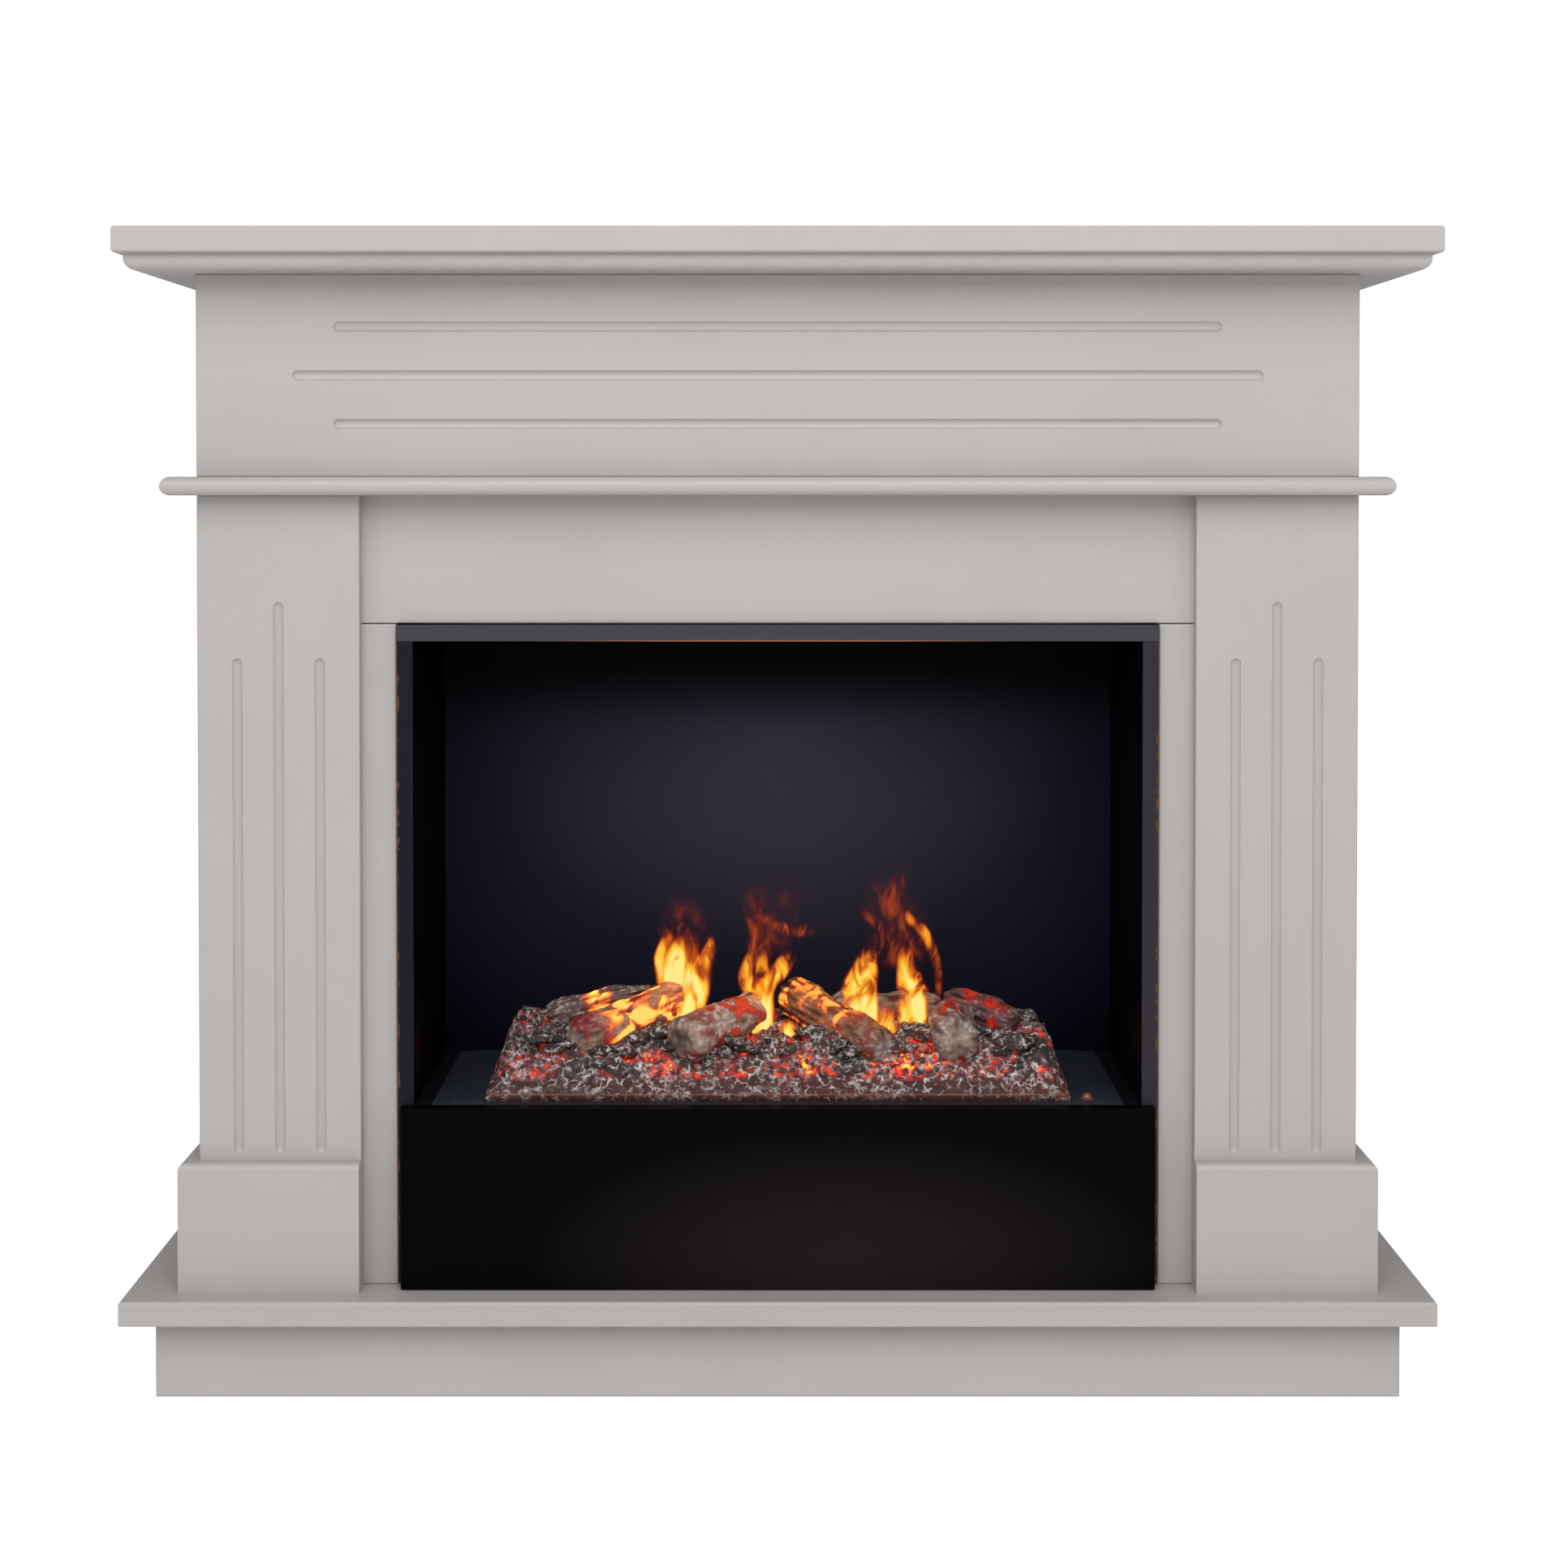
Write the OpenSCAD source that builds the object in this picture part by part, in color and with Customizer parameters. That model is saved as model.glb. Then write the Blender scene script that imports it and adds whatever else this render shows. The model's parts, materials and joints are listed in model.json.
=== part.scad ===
// Electric fireplace: a painted mantel surround, a black firebox housing, and a water-mist
// flame engine in a pull-out drawer under a lift-off log bed.
// The front faces -Y, the wall side faces +Y, and the origin is on the floor at the centre.

/* [Surround] */
// Width across the outer faces of the two columns
surround_w = 1126; // [920:1:1400]
// Depth from the face of the columns to the wall
surround_d = 310; // [250:1:400]
// Thickness of the carcass boards
board_t = 16; // [12:1:20]
// Thickness of the hardboard backs
back_t = 3; // [2:0.5:5]
// Small rounding that the paint shop leaves on every board edge
edge_r = 1.5; // [0.5:0.5:3]

/* [Mantel] */
// Thickness of the top board
mantel_t = 25; // [18:1:40]
// How far the top board stands out past the columns, each side
mantel_side_out = 67; // [40:1:100]
// How far the top board stands out past the columns, at the front
mantel_front_out = 66; // [40:1:100]
// Edge rounding of the top board
mantel_r = 3; // [1:0.5:8]
// Thickness of the moulding under the top board
moulding_t = 16; // [12:1:24]
// How far the moulding is set back from the edge of the top board
moulding_setback = 9.5; // [5:0.5:20]
// Quarter-round on the lower edge of the moulding
moulding_r = 11; // [4:1:12]

/* [Frieze] */
// Height of the frieze board
frieze_h = 196; // [160:1:260]
// Distance between the three horizontal grooves
frieze_groove_pitch = 47; // [30:1:60]
// Distance from the end of the long groove to the side of the surround
frieze_groove_end = 93; // [60:1:160]
// How much shorter the outer two grooves are, at each end
frieze_groove_step = 40; // [20:1:80]

/* [Grooves] */
// Width of every groove at the surface
groove_w = 10; // [6:0.5:14]
// Depth of every groove
groove_depth = 3.2; // [2:0.1:4.5]

/* [Middle moulding] */
// Thickness of the half-round board under the frieze
mid_t = 18; // [12:1:26]
// How far its nose stands out past the columns
mid_out = 30; // [20:1:45]

/* [Columns] */
// Width of each column
column_w = 157.5; // [130:0.5:190]
// Distance between the three flutes
flute_pitch = 40; // [30:1:44]
// Height of the top of the middle flute over the hearth
flute_mid_top = 669.5; // [560:0.5:720]
// Height of the top of the outer flutes over the hearth
flute_side_top = 615; // [500:1:680]
// Height of the lower end of the flutes over the foot of the plain column
flute_foot = 6.5; // [4:0.5:40]

/* [Plinth blocks] */
// Height of the blocks round the foot of each column
plinth_h = 126; // [90:1:170]
// Thickness of the blocks
plinth_t = 18; // [12:1:26]
// Rounding of their upper edge
plinth_r = 7; // [2:1:10]

/* [Inner panels] */
// Height of the opening for the firebox
opening_h = 648; // [540:1:780]
// Height of the head panel over the opening
head_h = 125; // [90:1:180]
// Width of the strip that shows between column and firebox
stile_w = 33.5; // [20:0.5:60]
// Gap at the seam between head panel and stiles
seam = 1; // [0.5:0.5:2]

/* [Hearth and base] */
// Thickness of the hearth board
hearth_t = 24; // [18:1:36]
// How far the hearth stands out in front of the plinth blocks
hearth_front_out = 30; // [20:1:60]
// How far the hearth stands out beside the plinth blocks
hearth_side_out = 51.5; // [30:0.5:80]
// Height of the base under the hearth
kick_h = 77; // [50:1:120]
// How far the base is set back under the hearth
kick_setback = 29.5; // [15:0.5:45]

/* [Firebox housing] */
// Thickness of the housing boards
house_t = 16; // [12:1:20]
// Gap all round the housing in its opening
house_gap = 1; // [0.5:0.5:3]
// How far the housing stands out of the inner panels
house_proud = 8; // [1:0.5:10]
// Thickness of the housing's back board
house_back_t = 8; // [5:1:12]
// Height of the feet under the housing
foot_t = 4; // [2:0.5:8]
// Space left behind the housing for the mains lead
rear_gap = 16; // [12:1:40]
// Height of the firebox floor over the hearth
deck_h = 177; // [165:1:220]

/* [Log bed] */
// Floor left clear at each side of the log bed
bed_margin = 67.5; // [60:0.5:90]
// Height of the ember bed
bed_h = 62; // [50:1:80]
// Wall of the moulded ember bed
bed_wall = 4; // [3:0.5:6]

/* [Drawer] */
// Thickness of the drawer front
drawer_t = 16; // [12:1:22]
// How far the front stops short of the housing's outer face, each side
drawer_side_gap = 4.5; // [2:0.5:8]
// Gap between the drawer front and the hearth below it
drawer_foot_gap = 1.5; // [1:0.5:4]
// Gap between the drawer front and the housing behind it
drawer_back_gap = 0.5; // [0.5:0.5:2]
// Sheet thickness of the tray
tray_t = 1.5; // [1:0.5:3]
// Height of the sides of the tray
tray_h = 73; // [60:1:80]
// Height of the telescopic runners
runner_h = 45; // [40:1:50]
// Width of a runner, from housing side to tray side
runner_w = 12.7; // [12.7:0.1:14]
// Width of the water tank
tank_w = 120; // [90:1:140]
// Height of the water tank
tank_h = 88; // [60:1:88]
// Wall of the water tank, the mist chamber and the hood
plastic_t = 2.5; // [2:0.5:4]
// Width of the control box
control_w = 86; // [80:1:100]
// Size of the square fan
fan_size = 60; // [50:1:70]

/* [Hidden] */
$fn = 48;
over = 1;              // how far a cutter runs past the face it cuts

paint = "#bdb8b4";
black = "#17181c";
steel = "#3a3f47";
raw_board = "#b08d62";

// depths, front to wall
y_wall = (surround_d + mantel_front_out) / 2;
y_face = y_wall - surround_d;
y_panel = y_face + board_t;
back_recess = 2.5;
y_back = y_wall - back_recess - back_t;
y_mantel = -y_wall;
y_moulding = y_mantel + moulding_setback;
y_mid = y_face - mid_out;
y_plinth = y_face - plinth_t;
y_hearth = y_plinth - hearth_front_out;
y_kick = y_hearth + kick_setback;

// half widths
x_side = surround_w / 2;
x_column = x_side - column_w;
x_open = x_column - stile_w;
x_mantel = x_side + mantel_side_out;
x_moulding = x_mantel - moulding_setback;
x_mid = x_side + mid_out;
x_plinth = x_side + plinth_t;
x_hearth = x_plinth + hearth_side_out;
x_kick = x_hearth - kick_setback;

// heights
z_hearth = kick_h + hearth_t;
z_plinth = z_hearth + plinth_h;
z_open = z_hearth + opening_h;
z_mid = z_open + head_h;
z_frieze = z_mid + mid_t;
z_moulding = z_frieze + frieze_h;
z_mantel = z_moulding + moulding_t;
z_top = z_mantel + mantel_t;

// firebox housing
x_house = x_open - house_gap;
x_fire = x_house - house_t;
y_house = y_panel - house_proud;
y_house_back = y_wall - rear_gap;
y_fire_back = y_house_back - house_back_t;
z_house = z_hearth + foot_t;
z_house_top = z_open - house_gap;
z_deck = z_hearth + deck_h;
z_deck_low = z_deck - house_t;

// burner tray, in a cut-out of the firebox floor
sheet_t = 1.5;
bed_x = x_fire - bed_margin;
bed_y0 = y_house + 16;
bed_y1 = y_fire_back - 54;
bed_z0 = z_deck + sheet_t;
pan_x = bed_x - 14;
pan_y0 = bed_y0 + 14;
pan_y1 = bed_y1 - 14;
pan_z = z_deck_low - 6;
flange_x = x_fire - 17;
flange_y0 = y_house + 6;
flange_y1 = y_fire_back - 9;
plate_x0 = bed_x + 1.5;
plate_x1 = flange_x - 17;
plate_y0 = flange_y0 + 3;
plate_y1 = flange_y1 - 3;

// drawer and what it carries
y_drawer0 = y_house - drawer_back_gap - drawer_t;
y_drawer1 = y_drawer0 + drawer_t;
z_drawer0 = z_hearth + drawer_foot_gap;
z_drawer1 = z_deck + 1;
tray_x = x_fire - runner_w;
tray_in = tray_x - tray_t;
tray_y0 = y_drawer1;
tray_y1 = y_fire_back - 32;
tray_z = z_hearth + 11;
tray_floor = tray_z + tray_t;
runner_z = tray_z + 22;
runner_y0 = y_house + 10;
runner_y1 = y_fire_back - 24;

tank_x0 = -(tray_in - 4.5);
tank_x1 = tank_x0 + tank_w;
tank_y0 = tray_y0 + 10.5;
tank_y1 = tray_y1 - 32;
tank_z0 = tray_floor + 14.5;
tank_cx = (tank_x0 + tank_x1) / 2 + 20;
tank_cy = (tank_y0 + tank_y1) / 2;
neck_r = 17;
cap_r = 22;

control_x1 = tray_in - 4.5;
control_x0 = control_x1 - control_w;
control_y0 = tray_y0 + 8;
control_y1 = control_y0 + 120;
control_z1 = tray_floor + 58;

chamber_x0 = tank_x1 + 8;
chamber_x1 = control_x0 - 8;
chamber_y0 = tray_y0 + 42;
chamber_y1 = chamber_y0 + 110;
chamber_z1 = tray_floor + 60;
hood_z = chamber_z1 + plastic_t;
fan_x = chamber_x1 - fan_size / 2 - 4;
fan_y = (chamber_y0 + chamber_y1) / 2;
fan_h = 15;
duct_x0 = chamber_x0 + 46;
duct_x1 = fan_x - fan_size / 2 - 10;
duct_y0 = fan_y - 6;
duct_y1 = fan_y + 34;
duct_z1 = pan_z - sheet_t - 3;
float_x = chamber_x0 + 22;
float_y = chamber_y1 - 22;
float_stem_r = 2;
float_r = 9;
float_h = 12;
float_z = tray_floor + plastic_t + 16;

rocker_y = control_y0 + 26;
rocker_x = (control_x0 + control_x1) / 2;
rocker_tilt = 8;
rocker_w = 14;
rocker_l = 20;
rocker_pin_r = 1.5;
rocker_z = control_z1 - 6;
rocker_window = rocker_l / 2 + 0.8;
button_r = 5;
button_y = control_y0 + 70;
button_pitch = 34;
button_rise = 3;
button_depth = 6;
board_z = control_z1 - 13;

// ---- shapes that repeat ----

// box between two corners
module block(low, high) {
    translate(low) cube(high - low);
}

// what is cut off a corner to round it; [u, v] is the corner, [du, dv] points into the material
module corner_waste(u, v, du, dv, r) {
    if (r > 0) translate([u, v]) difference() {
        translate([du > 0 ? -over : -r, dv > 0 ? -over : -r]) square(r + over);
        translate([du * r, dv * r]) circle(r = r);
    }
}

// rectangle with its own radius at each corner: low left, low right, top right, top left
module rounded_rect(u0, v0, u1, v1, r) {
    difference() {
        translate([u0, v0]) square([u1 - u0, v1 - v0]);
        corner_waste(u0, v0, 1, 1, r[0]);
        corner_waste(u1, v0, -1, 1, r[1]);
        corner_waste(u1, v1, -1, -1, r[2]);
        corner_waste(u0, v1, 1, -1, r[3]);
    }
}

// a profile in Y and Z, run along X
module run_x(x0, x1) {
    translate([x0, 0, 0]) rotate([90, 0, 90]) linear_extrude(x1 - x0) children();
}

// a profile in X and Z, run along Y
module run_y(y0, y1) {
    translate([0, y1, 0]) rotate([90, 0, 0]) linear_extrude(y1 - y0) children();
}

// board whose front and side edges are moulded; its back edge is square against the wall
module moulded_slab(x_half, y0, y1, z0, z1, r_low, r_top) {
    intersection() {
        run_x(-x_half, x_half) rounded_rect(y0, z0, y1, z1, [r_low, 0, 0, r_top]);
        run_y(y0, y1) rounded_rect(-x_half, z0, x_half, z1, [r_low, r_low, r_top, r_top]);
    }
}

// upright board seen from the front, with its four front edges eased
module face_board(x0, x1, y0, y1, z0, z1, r) {
    intersection() {
        translate([0, 0, z0]) linear_extrude(z1 - z0) rounded_rect(x0, y0, x1, y1, [r, r, 0, 0]);
        run_x(x0, x1) rounded_rect(y0, z0, y1, z1, [r, 0, 0, r]);
    }
}

// a groove cut by a round-nosed cutter in the front face, between two points of that face
groove_r = (pow(groove_w / 2, 2) + pow(groove_depth, 2)) / (2 * groove_depth);
module groove(face_y, x0, z0, x1, z1) {
    along = [x1 - x0, 0, z1 - z0];
    length = norm(along);
    centre_y = face_y - groove_r + groove_depth;
    translate([x0, centre_y, z0]) {
        rotate([0, x1 > x0 ? 90 : 0, 0]) cylinder(h = length, r = groove_r);
        sphere(r = groove_r);
        translate(along) sphere(r = groove_r);
    }
}

// runs its children on the right, or mirrored on the left
module on_side(side) {
    if (side < 0) mirror([1, 0, 0]) children();
    else children();
}

module both_sides() {
    for (side = [-1, 1]) on_side(side) children();
}

// ---- mantel and frieze ----

module mantel_board() {
    color(paint) moulded_slab(x_mantel, y_mantel, y_wall, z_mantel, z_top, mantel_r, mantel_r);
}

module mantel_moulding() {
    color(paint) moulded_slab(x_moulding, y_moulding, y_wall, z_moulding, z_mantel, moulding_r, 0);
}

module frieze_front() {
    middle = z_frieze + frieze_h / 2;
    long_x = x_side - frieze_groove_end - groove_w / 2;
    color(paint) difference() {
        face_board(-x_side, x_side, y_face, y_panel, z_frieze, z_moulding, edge_r);
        for (row = [-1:1]) {
            x = long_x - (row == 0 ? 0 : frieze_groove_step);
            z = middle + row * frieze_groove_pitch;
            groove(y_face, -x, z, x, z);
        }
    }
}

module frieze_sides() {
    color(paint) both_sides()
        block([x_side - board_t, y_panel, z_frieze], [x_side, y_back, z_moulding]);
}

module mid_moulding() {
    color(paint) moulded_slab(x_mid, y_mid, y_wall, z_mid, z_frieze, mid_t / 2, mid_t / 2);
}

// ---- columns, plinth blocks and inner panels ----

module column_front(side) {
    middle = (x_column + x_side) / 2;
    low = z_plinth + flute_foot + groove_w / 2;
    color(paint) on_side(side) difference() {
        face_board(x_column, x_side, y_face, y_panel, z_hearth, z_mid, edge_r);
        for (row = [-1:1]) {
            x = middle + row * flute_pitch;
            high = z_hearth + (row == 0 ? flute_mid_top : flute_side_top) - groove_w / 2;
            groove(y_face, x, low, x, high);
        }
    }
}

module column_sides() {
    color(paint) difference() {
        both_sides() block([x_side - board_t, y_panel, z_hearth], [x_side, y_back, z_mid]);
        screw_holes();
    }
}

// inner walls of the columns, which the firebox stands between
module niche_sides() {
    color(raw_board) difference() {
        both_sides() block([x_open, y_panel + board_t, z_hearth], [x_open + board_t, y_back, z_mid]);
        screw_holes();
    }
}

module plinth_wrap(side) {
    color(paint) on_side(side) difference() {
        intersection() {
            run_x(x_column, x_plinth)
                rounded_rect(y_plinth, z_hearth, y_wall, z_plinth, [0, 0, 0, plinth_r]);
            run_y(y_plinth, y_wall)
                rounded_rect(x_column, z_hearth, x_plinth, z_plinth, [0, 0, plinth_r, 0]);
        }
        block([x_column - over, y_face, z_hearth - over], [x_side, y_wall + over, z_plinth + over]);
    }
}

module head_panel() {
    x = x_side - board_t;
    color(paint)
        face_board(-x, x, y_panel, y_panel + board_t, z_open + seam / 2, z_mid, edge_r / 2);
}

module stile(side) {
    color(paint) on_side(side)
        face_board(x_open, x_side - board_t, y_panel, y_panel + board_t,
            z_hearth, z_open - seam / 2, edge_r);
}

// ---- hearth, base and backs ----

module hearth_board() {
    color(paint) moulded_slab(x_hearth, y_hearth, y_wall, kick_h, z_hearth, edge_r, mantel_r);
}

module kick_front() {
    color(paint) face_board(-x_kick, x_kick, y_kick, y_kick + board_t, 0, kick_h, mantel_r);
}

module kick_sides() {
    color(paint) both_sides()
        block([x_kick - board_t, y_kick + board_t, 0], [x_kick, y_wall, kick_h]);
}

module kick_rail() {
    x = x_kick - board_t;
    color(raw_board) block([-x, y_wall - board_t, 0], [x, y_wall, kick_h]);
}

module frieze_back() {
    color(raw_board)
        block([-x_side, y_back, z_frieze], [x_side, y_back + back_t, z_moulding]);
}

module column_backs() {
    color(raw_board) difference() {
        both_sides() block([x_open, y_back, z_hearth], [x_side, y_back + back_t, z_mid]);
        screw_holes();
    }
}

// pan-head screws that hold the column backs to the edges of the boards
screw_r = 1.5;
screw_length = 15;
screw_rows = 5;
module screw_spots() {
    margin = 40;
    pitch = (z_mid - z_hearth - 2 * margin) / (screw_rows - 1);
    both_sides() for (x = [x_open + board_t / 2, x_side - board_t / 2], row = [0:screw_rows - 1])
        translate([x, y_back + back_t, z_hearth + margin + row * pitch]) rotate([90, 0, 0]) children();
}

module screw_holes() {
    screw_spots() translate([0, 0, -over]) cylinder(h = screw_length + 2 * over, r = screw_r + 0.05);
}

module back_screws() {
    color("silver") screw_spots() {
        translate([0, 0, -2]) cylinder(h = 2, r = 3.5);
        cylinder(h = screw_length, r = screw_r);
    }
}

// angle brackets that tie the surround to the wall
bracket_t = 2;
bracket_leg = 40;
bracket_hole_r = 3;
bracket_z = z_open + head_h / 2;
module wall_brackets() {
    color("silver") both_sides() difference() {
        union() {
            block([x_open - bracket_leg, y_wall - bracket_t, bracket_z - bracket_leg / 2],
                [x_open, y_wall, bracket_z + bracket_leg / 2]);
            block([x_open - bracket_t, y_wall - bracket_leg, bracket_z - bracket_leg / 2],
                [x_open, y_wall, bracket_z + bracket_leg / 2]);
        }
        translate([x_open - bracket_leg / 2 - bracket_t, y_wall - bracket_leg / 2, bracket_z])
            rotate([-90, 0, 0]) cylinder(h = bracket_leg, r = bracket_hole_r);
        translate([x_open - bracket_leg / 2, y_wall - bracket_leg / 2 - bracket_t, bracket_z])
            rotate([0, 90, 0]) cylinder(h = bracket_leg, r = bracket_hole_r);
    }
}

// ---- firebox housing ----

module housing_top() {
    color(black) face_board(-x_house, x_house, y_house, y_house_back,
        z_house_top - house_t, z_house_top, edge_r / 2);
}

module housing_side(side) {
    color(black) on_side(side) face_board(x_fire, x_house, y_house, y_house_back,
        z_house, z_house_top - house_t, edge_r / 2);
}

module housing_feet() {
    foot_l = 30;
    inset = 24;
    color("dimgray") both_sides() for (y = [y_house + inset, y_house_back - inset - foot_l])
        block([x_fire + 1, y, z_hearth], [x_house - 1, y + foot_l, z_house]);
}

// the mains inlet sits in this cut-out of the back
inlet_w = 27;
inlet_h = 20;
inlet_x = x_fire - 85;
inlet_z = z_hearth + 95;
module housing_back() {
    color("#1c1f2a") difference() {
        block([-x_fire, y_fire_back, z_house], [x_fire, y_house_back, z_house_top - house_t]);
        block([inlet_x - inlet_w / 2, y_fire_back - over, inlet_z - inlet_h / 2],
            [inlet_x + inlet_w / 2, y_house_back + over, inlet_z + inlet_h / 2]);
    }
}

pan_clear = 1;
module housing_deck() {
    color(black) difference() {
        block([-x_fire, y_house + 0.5, z_deck_low], [x_fire, y_fire_back, z_deck]);
        block([-pan_x - pan_clear, pan_y0 - pan_clear, z_deck_low - over],
            [pan_x + pan_clear, pan_y1 + pan_clear, z_deck + over]);
    }
}

// ---- burner tray, lamps and electrics ----

duct_clear = 4;
module burner_tray() {
    color(steel) difference() {
        union() {
            block([-flange_x, flange_y0, z_deck], [flange_x, flange_y1, z_deck + sheet_t]);
            block([-pan_x, pan_y0, pan_z - sheet_t], [pan_x, pan_y1, z_deck + sheet_t]);
        }
        block([-pan_x + sheet_t, pan_y0 + sheet_t, pan_z],
            [pan_x - sheet_t, pan_y1 - sheet_t, z_deck + sheet_t + over]);
        block([duct_x0 - duct_clear, duct_y0 - duct_clear, pan_z - sheet_t - over],
            [duct_x1 + duct_clear, duct_y1 + duct_clear, pan_z + over]);
    }
}

module cover_plates() {
    color(steel) both_sides()
        block([plate_x0, plate_y0, bed_z0], [plate_x1, plate_y1, bed_z0 + sheet_t]);
}

// amber window of the remote-control receiver
lens_r = 5;
module ir_lens() {
    translate([(plate_x0 + plate_x1) / 2 - 1, plate_y0 + 12, bed_z0 + sheet_t]) color("darkorange") {
        cylinder(h = 1, r = lens_r + 1.5);
        translate([0, 0, 1]) intersection() {
            sphere(r = lens_r);
            translate([-lens_r, -lens_r, 0]) cube([2 * lens_r, 2 * lens_r, lens_r]);
        }
    }
}

lamp_count = 5;
lamp_r = 8;
module lamps() {
    pitch = (duct_x1 - duct_x0) / lamp_count;
    y = (pan_y0 + duct_y0 - duct_clear) / 2;
    color("khaki") for (i = [0:lamp_count - 1])
        translate([duct_x0 + (i + 0.5) * pitch, y, pan_z]) {
            cylinder(h = 10, r = lamp_r);
            translate([0, 0, 10]) cylinder(h = 12, r = lamp_r - 2);
            translate([0, 0, 22]) sphere(r = lamp_r - 2);
        }
}

supply_w = 130;
supply_h = 80;
supply_d = 26;
supply_ear = 10;
module power_supply() {
    x1 = inlet_x - inlet_w / 2 - 30;
    x0 = x1 - supply_w;
    z0 = inlet_z - supply_h / 2;
    color("dimgray") difference() {
        union() {
            block([x0, y_fire_back - supply_d, z0], [x1, y_fire_back, z0 + supply_h]);
            block([x0 - supply_ear, y_fire_back - 2, inlet_z - 10],
                [x1 + supply_ear, y_fire_back, inlet_z + 10]);
        }
        for (x = [x0 - supply_ear / 2, x1 + supply_ear / 2]) translate([x, y_fire_back + over, inlet_z])
            rotate([90, 0, 0]) cylinder(h = 3 + over, r = 2);
    }
}

// two-pin appliance inlet: body in the cut-out, flange outside, pin cavity open to the back
inlet_depth = 22;
inlet_wall = 2.5;
inlet_flange = 2;
module mains_inlet() {
    half_w = inlet_w / 2;
    half_h = inlet_h / 2;
    lip = 3;
    y0 = y_house_back - inlet_depth;
    color("#202020") {
        difference() {
            union() {
                block([inlet_x - half_w, y0, inlet_z - half_h],
                    [inlet_x + half_w, y_house_back, inlet_z + half_h]);
                block([inlet_x - half_w - lip, y_house_back, inlet_z - half_h - lip],
                    [inlet_x + half_w + lip, y_house_back + inlet_flange, inlet_z + half_h + lip]);
            }
            block([inlet_x - half_w + inlet_wall, y0 + 6, inlet_z - half_h + inlet_wall],
                [inlet_x + half_w - inlet_wall, y_house_back + inlet_flange + over,
                inlet_z + half_h - inlet_wall]);
        }
        for (shift = [-5, 5]) block([inlet_x + shift - 1, y0 + 5, inlet_z - 1.5],
            [inlet_x + shift + 1, y_house_back - 3, inlet_z + 1.5]);
    }
}

// ---- telescopic runners: outer on the housing, inner on the tray, middle between them ----

member_t = 1.2;
member_gap = 1;
// channel with its web from x_web to x_web + member_t, its lips reaching x_lip, inset from the runner
module channel(x_web, x_lip, inset) {
    z0 = runner_z + inset;
    z1 = runner_z + runner_h - inset;
    low_x = min(x_web, x_lip);
    high_x = max(x_web + member_t, x_lip);
    block([x_web, runner_y0, z0], [x_web + member_t, runner_y1, z1]);
    for (z = [z0, z1 - member_t])
        block([low_x, runner_y0, z], [high_x, runner_y1, z + member_t]);
}

lip_step = member_t + member_gap;
module runner_outer() {
    color("silver") both_sides() channel(x_fire - member_t, x_fire - 9.5, 0);
}

module runner_middle() {
    color("silver") both_sides()
        channel(x_fire - 2 * member_t - member_gap, x_fire - 9, lip_step);
}

module runner_inner() {
    color("silver") both_sides()
        channel(tray_x, x_fire - 2 * (member_t + member_gap) - member_gap, 2 * lip_step);
}

// ---- log bed ----

// banked shape of the bed: steep foot, then a gentler slope; "thin" shrinks it all round
module bed_form(thin) {
    knee = 12;
    crown = 27;
    z0 = bed_z0 - (thin > 0 ? over : 0);
    z1 = bed_z0 + bed_h * 0.55 - thin / 2;
    z2 = bed_z0 + bed_h - thin;
    rim = thin > 0 ? 9 : 0;
    x = bed_x - thin;
    y0 = bed_y0 + thin;
    y1 = bed_y1 - thin;
    intersection() {
        run_y(bed_y0, bed_y1) polygon([[-x + rim, z0], [x - rim, z0], [x - knee, z1],
            [x - crown, z2], [crown - x, z2], [knee - x, z1]]);
        run_x(-bed_x, bed_x) polygon([[y0 + rim, z0], [y1 - rim, z0], [y1 - knee, z1],
            [y1 - crown, z2], [y0 + crown, z2], [y0 + knee, z1]]);
    }
}

// moulded shell, open below, with a slot that lets the mist up between the logs
module ember_bed() {
    slot_x = bed_x * 0.62;
    color("#5a4440") difference() {
        bed_form(0);
        bed_form(bed_wall);
        block([-slot_x, duct_y0 + 2, bed_z0 + 20], [slot_x, duct_y1 - 8, bed_z0 + bed_h + over]);
    }
}

// each log: one end, other end, radius at each; x is a share of the bed's half width,
// y and z are measured from the foot of the bed's front edge
logs = [
    [[-0.80, 150, 66], [-0.44, 140, 102], 17, 14],
    [[-0.68, 48, 68], [-0.32, 112, 92], 23, 18],
    [[-0.42, 36, 66], [-0.06, 112, 84], 23, 17],
    [[0.05, 128, 104], [0.37, 44, 62], 19, 18],
    [[0.14, 168, 74], [0.58, 164, 74], 15, 15],
    [[0.60, 34, 66], [0.62, 98, 78], 23, 21],
    [[0.70, 150, 72], [0.82, 112, 68], 25, 22],
];

module log_form(i) {
    base = [0, bed_y0, bed_z0];
    a = base + [logs[i][0][0] * bed_x, logs[i][0][1], logs[i][0][2]];
    d = base + [logs[i][1][0] * bed_x, logs[i][1][1], logs[i][1][2]] - a;
    translate(a) rotate([0, acos(d[2] / norm(d)), atan2(d[1], d[0])])
        cylinder(h = norm(d), r1 = logs[i][2], r2 = logs[i][3]);
}

// a log notched over the bed and over the logs laid before it
module log_piece(i) {
    color("#6b5248") difference() {
        log_form(i);
        bed_form(0);
        if (i > 0) for (k = [0:i - 1]) log_form(k);
    }
}

// ---- drawer ----

module drawer_front() {
    x = x_house - drawer_side_gap;
    color(black) face_board(-x, x, y_drawer0, y_drawer1, z_drawer0, z_drawer1, edge_r / 2);
}

module drawer_tray() {
    color("gray") difference() {
        block([-tray_x, tray_y0, tray_z], [tray_x, tray_y1, tray_z + tray_h]);
        block([-tray_in, tray_y0 + tray_t, tray_floor], [tray_in, tray_y1 - tray_t, tray_z + tray_h + over]);
    }
}

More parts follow.
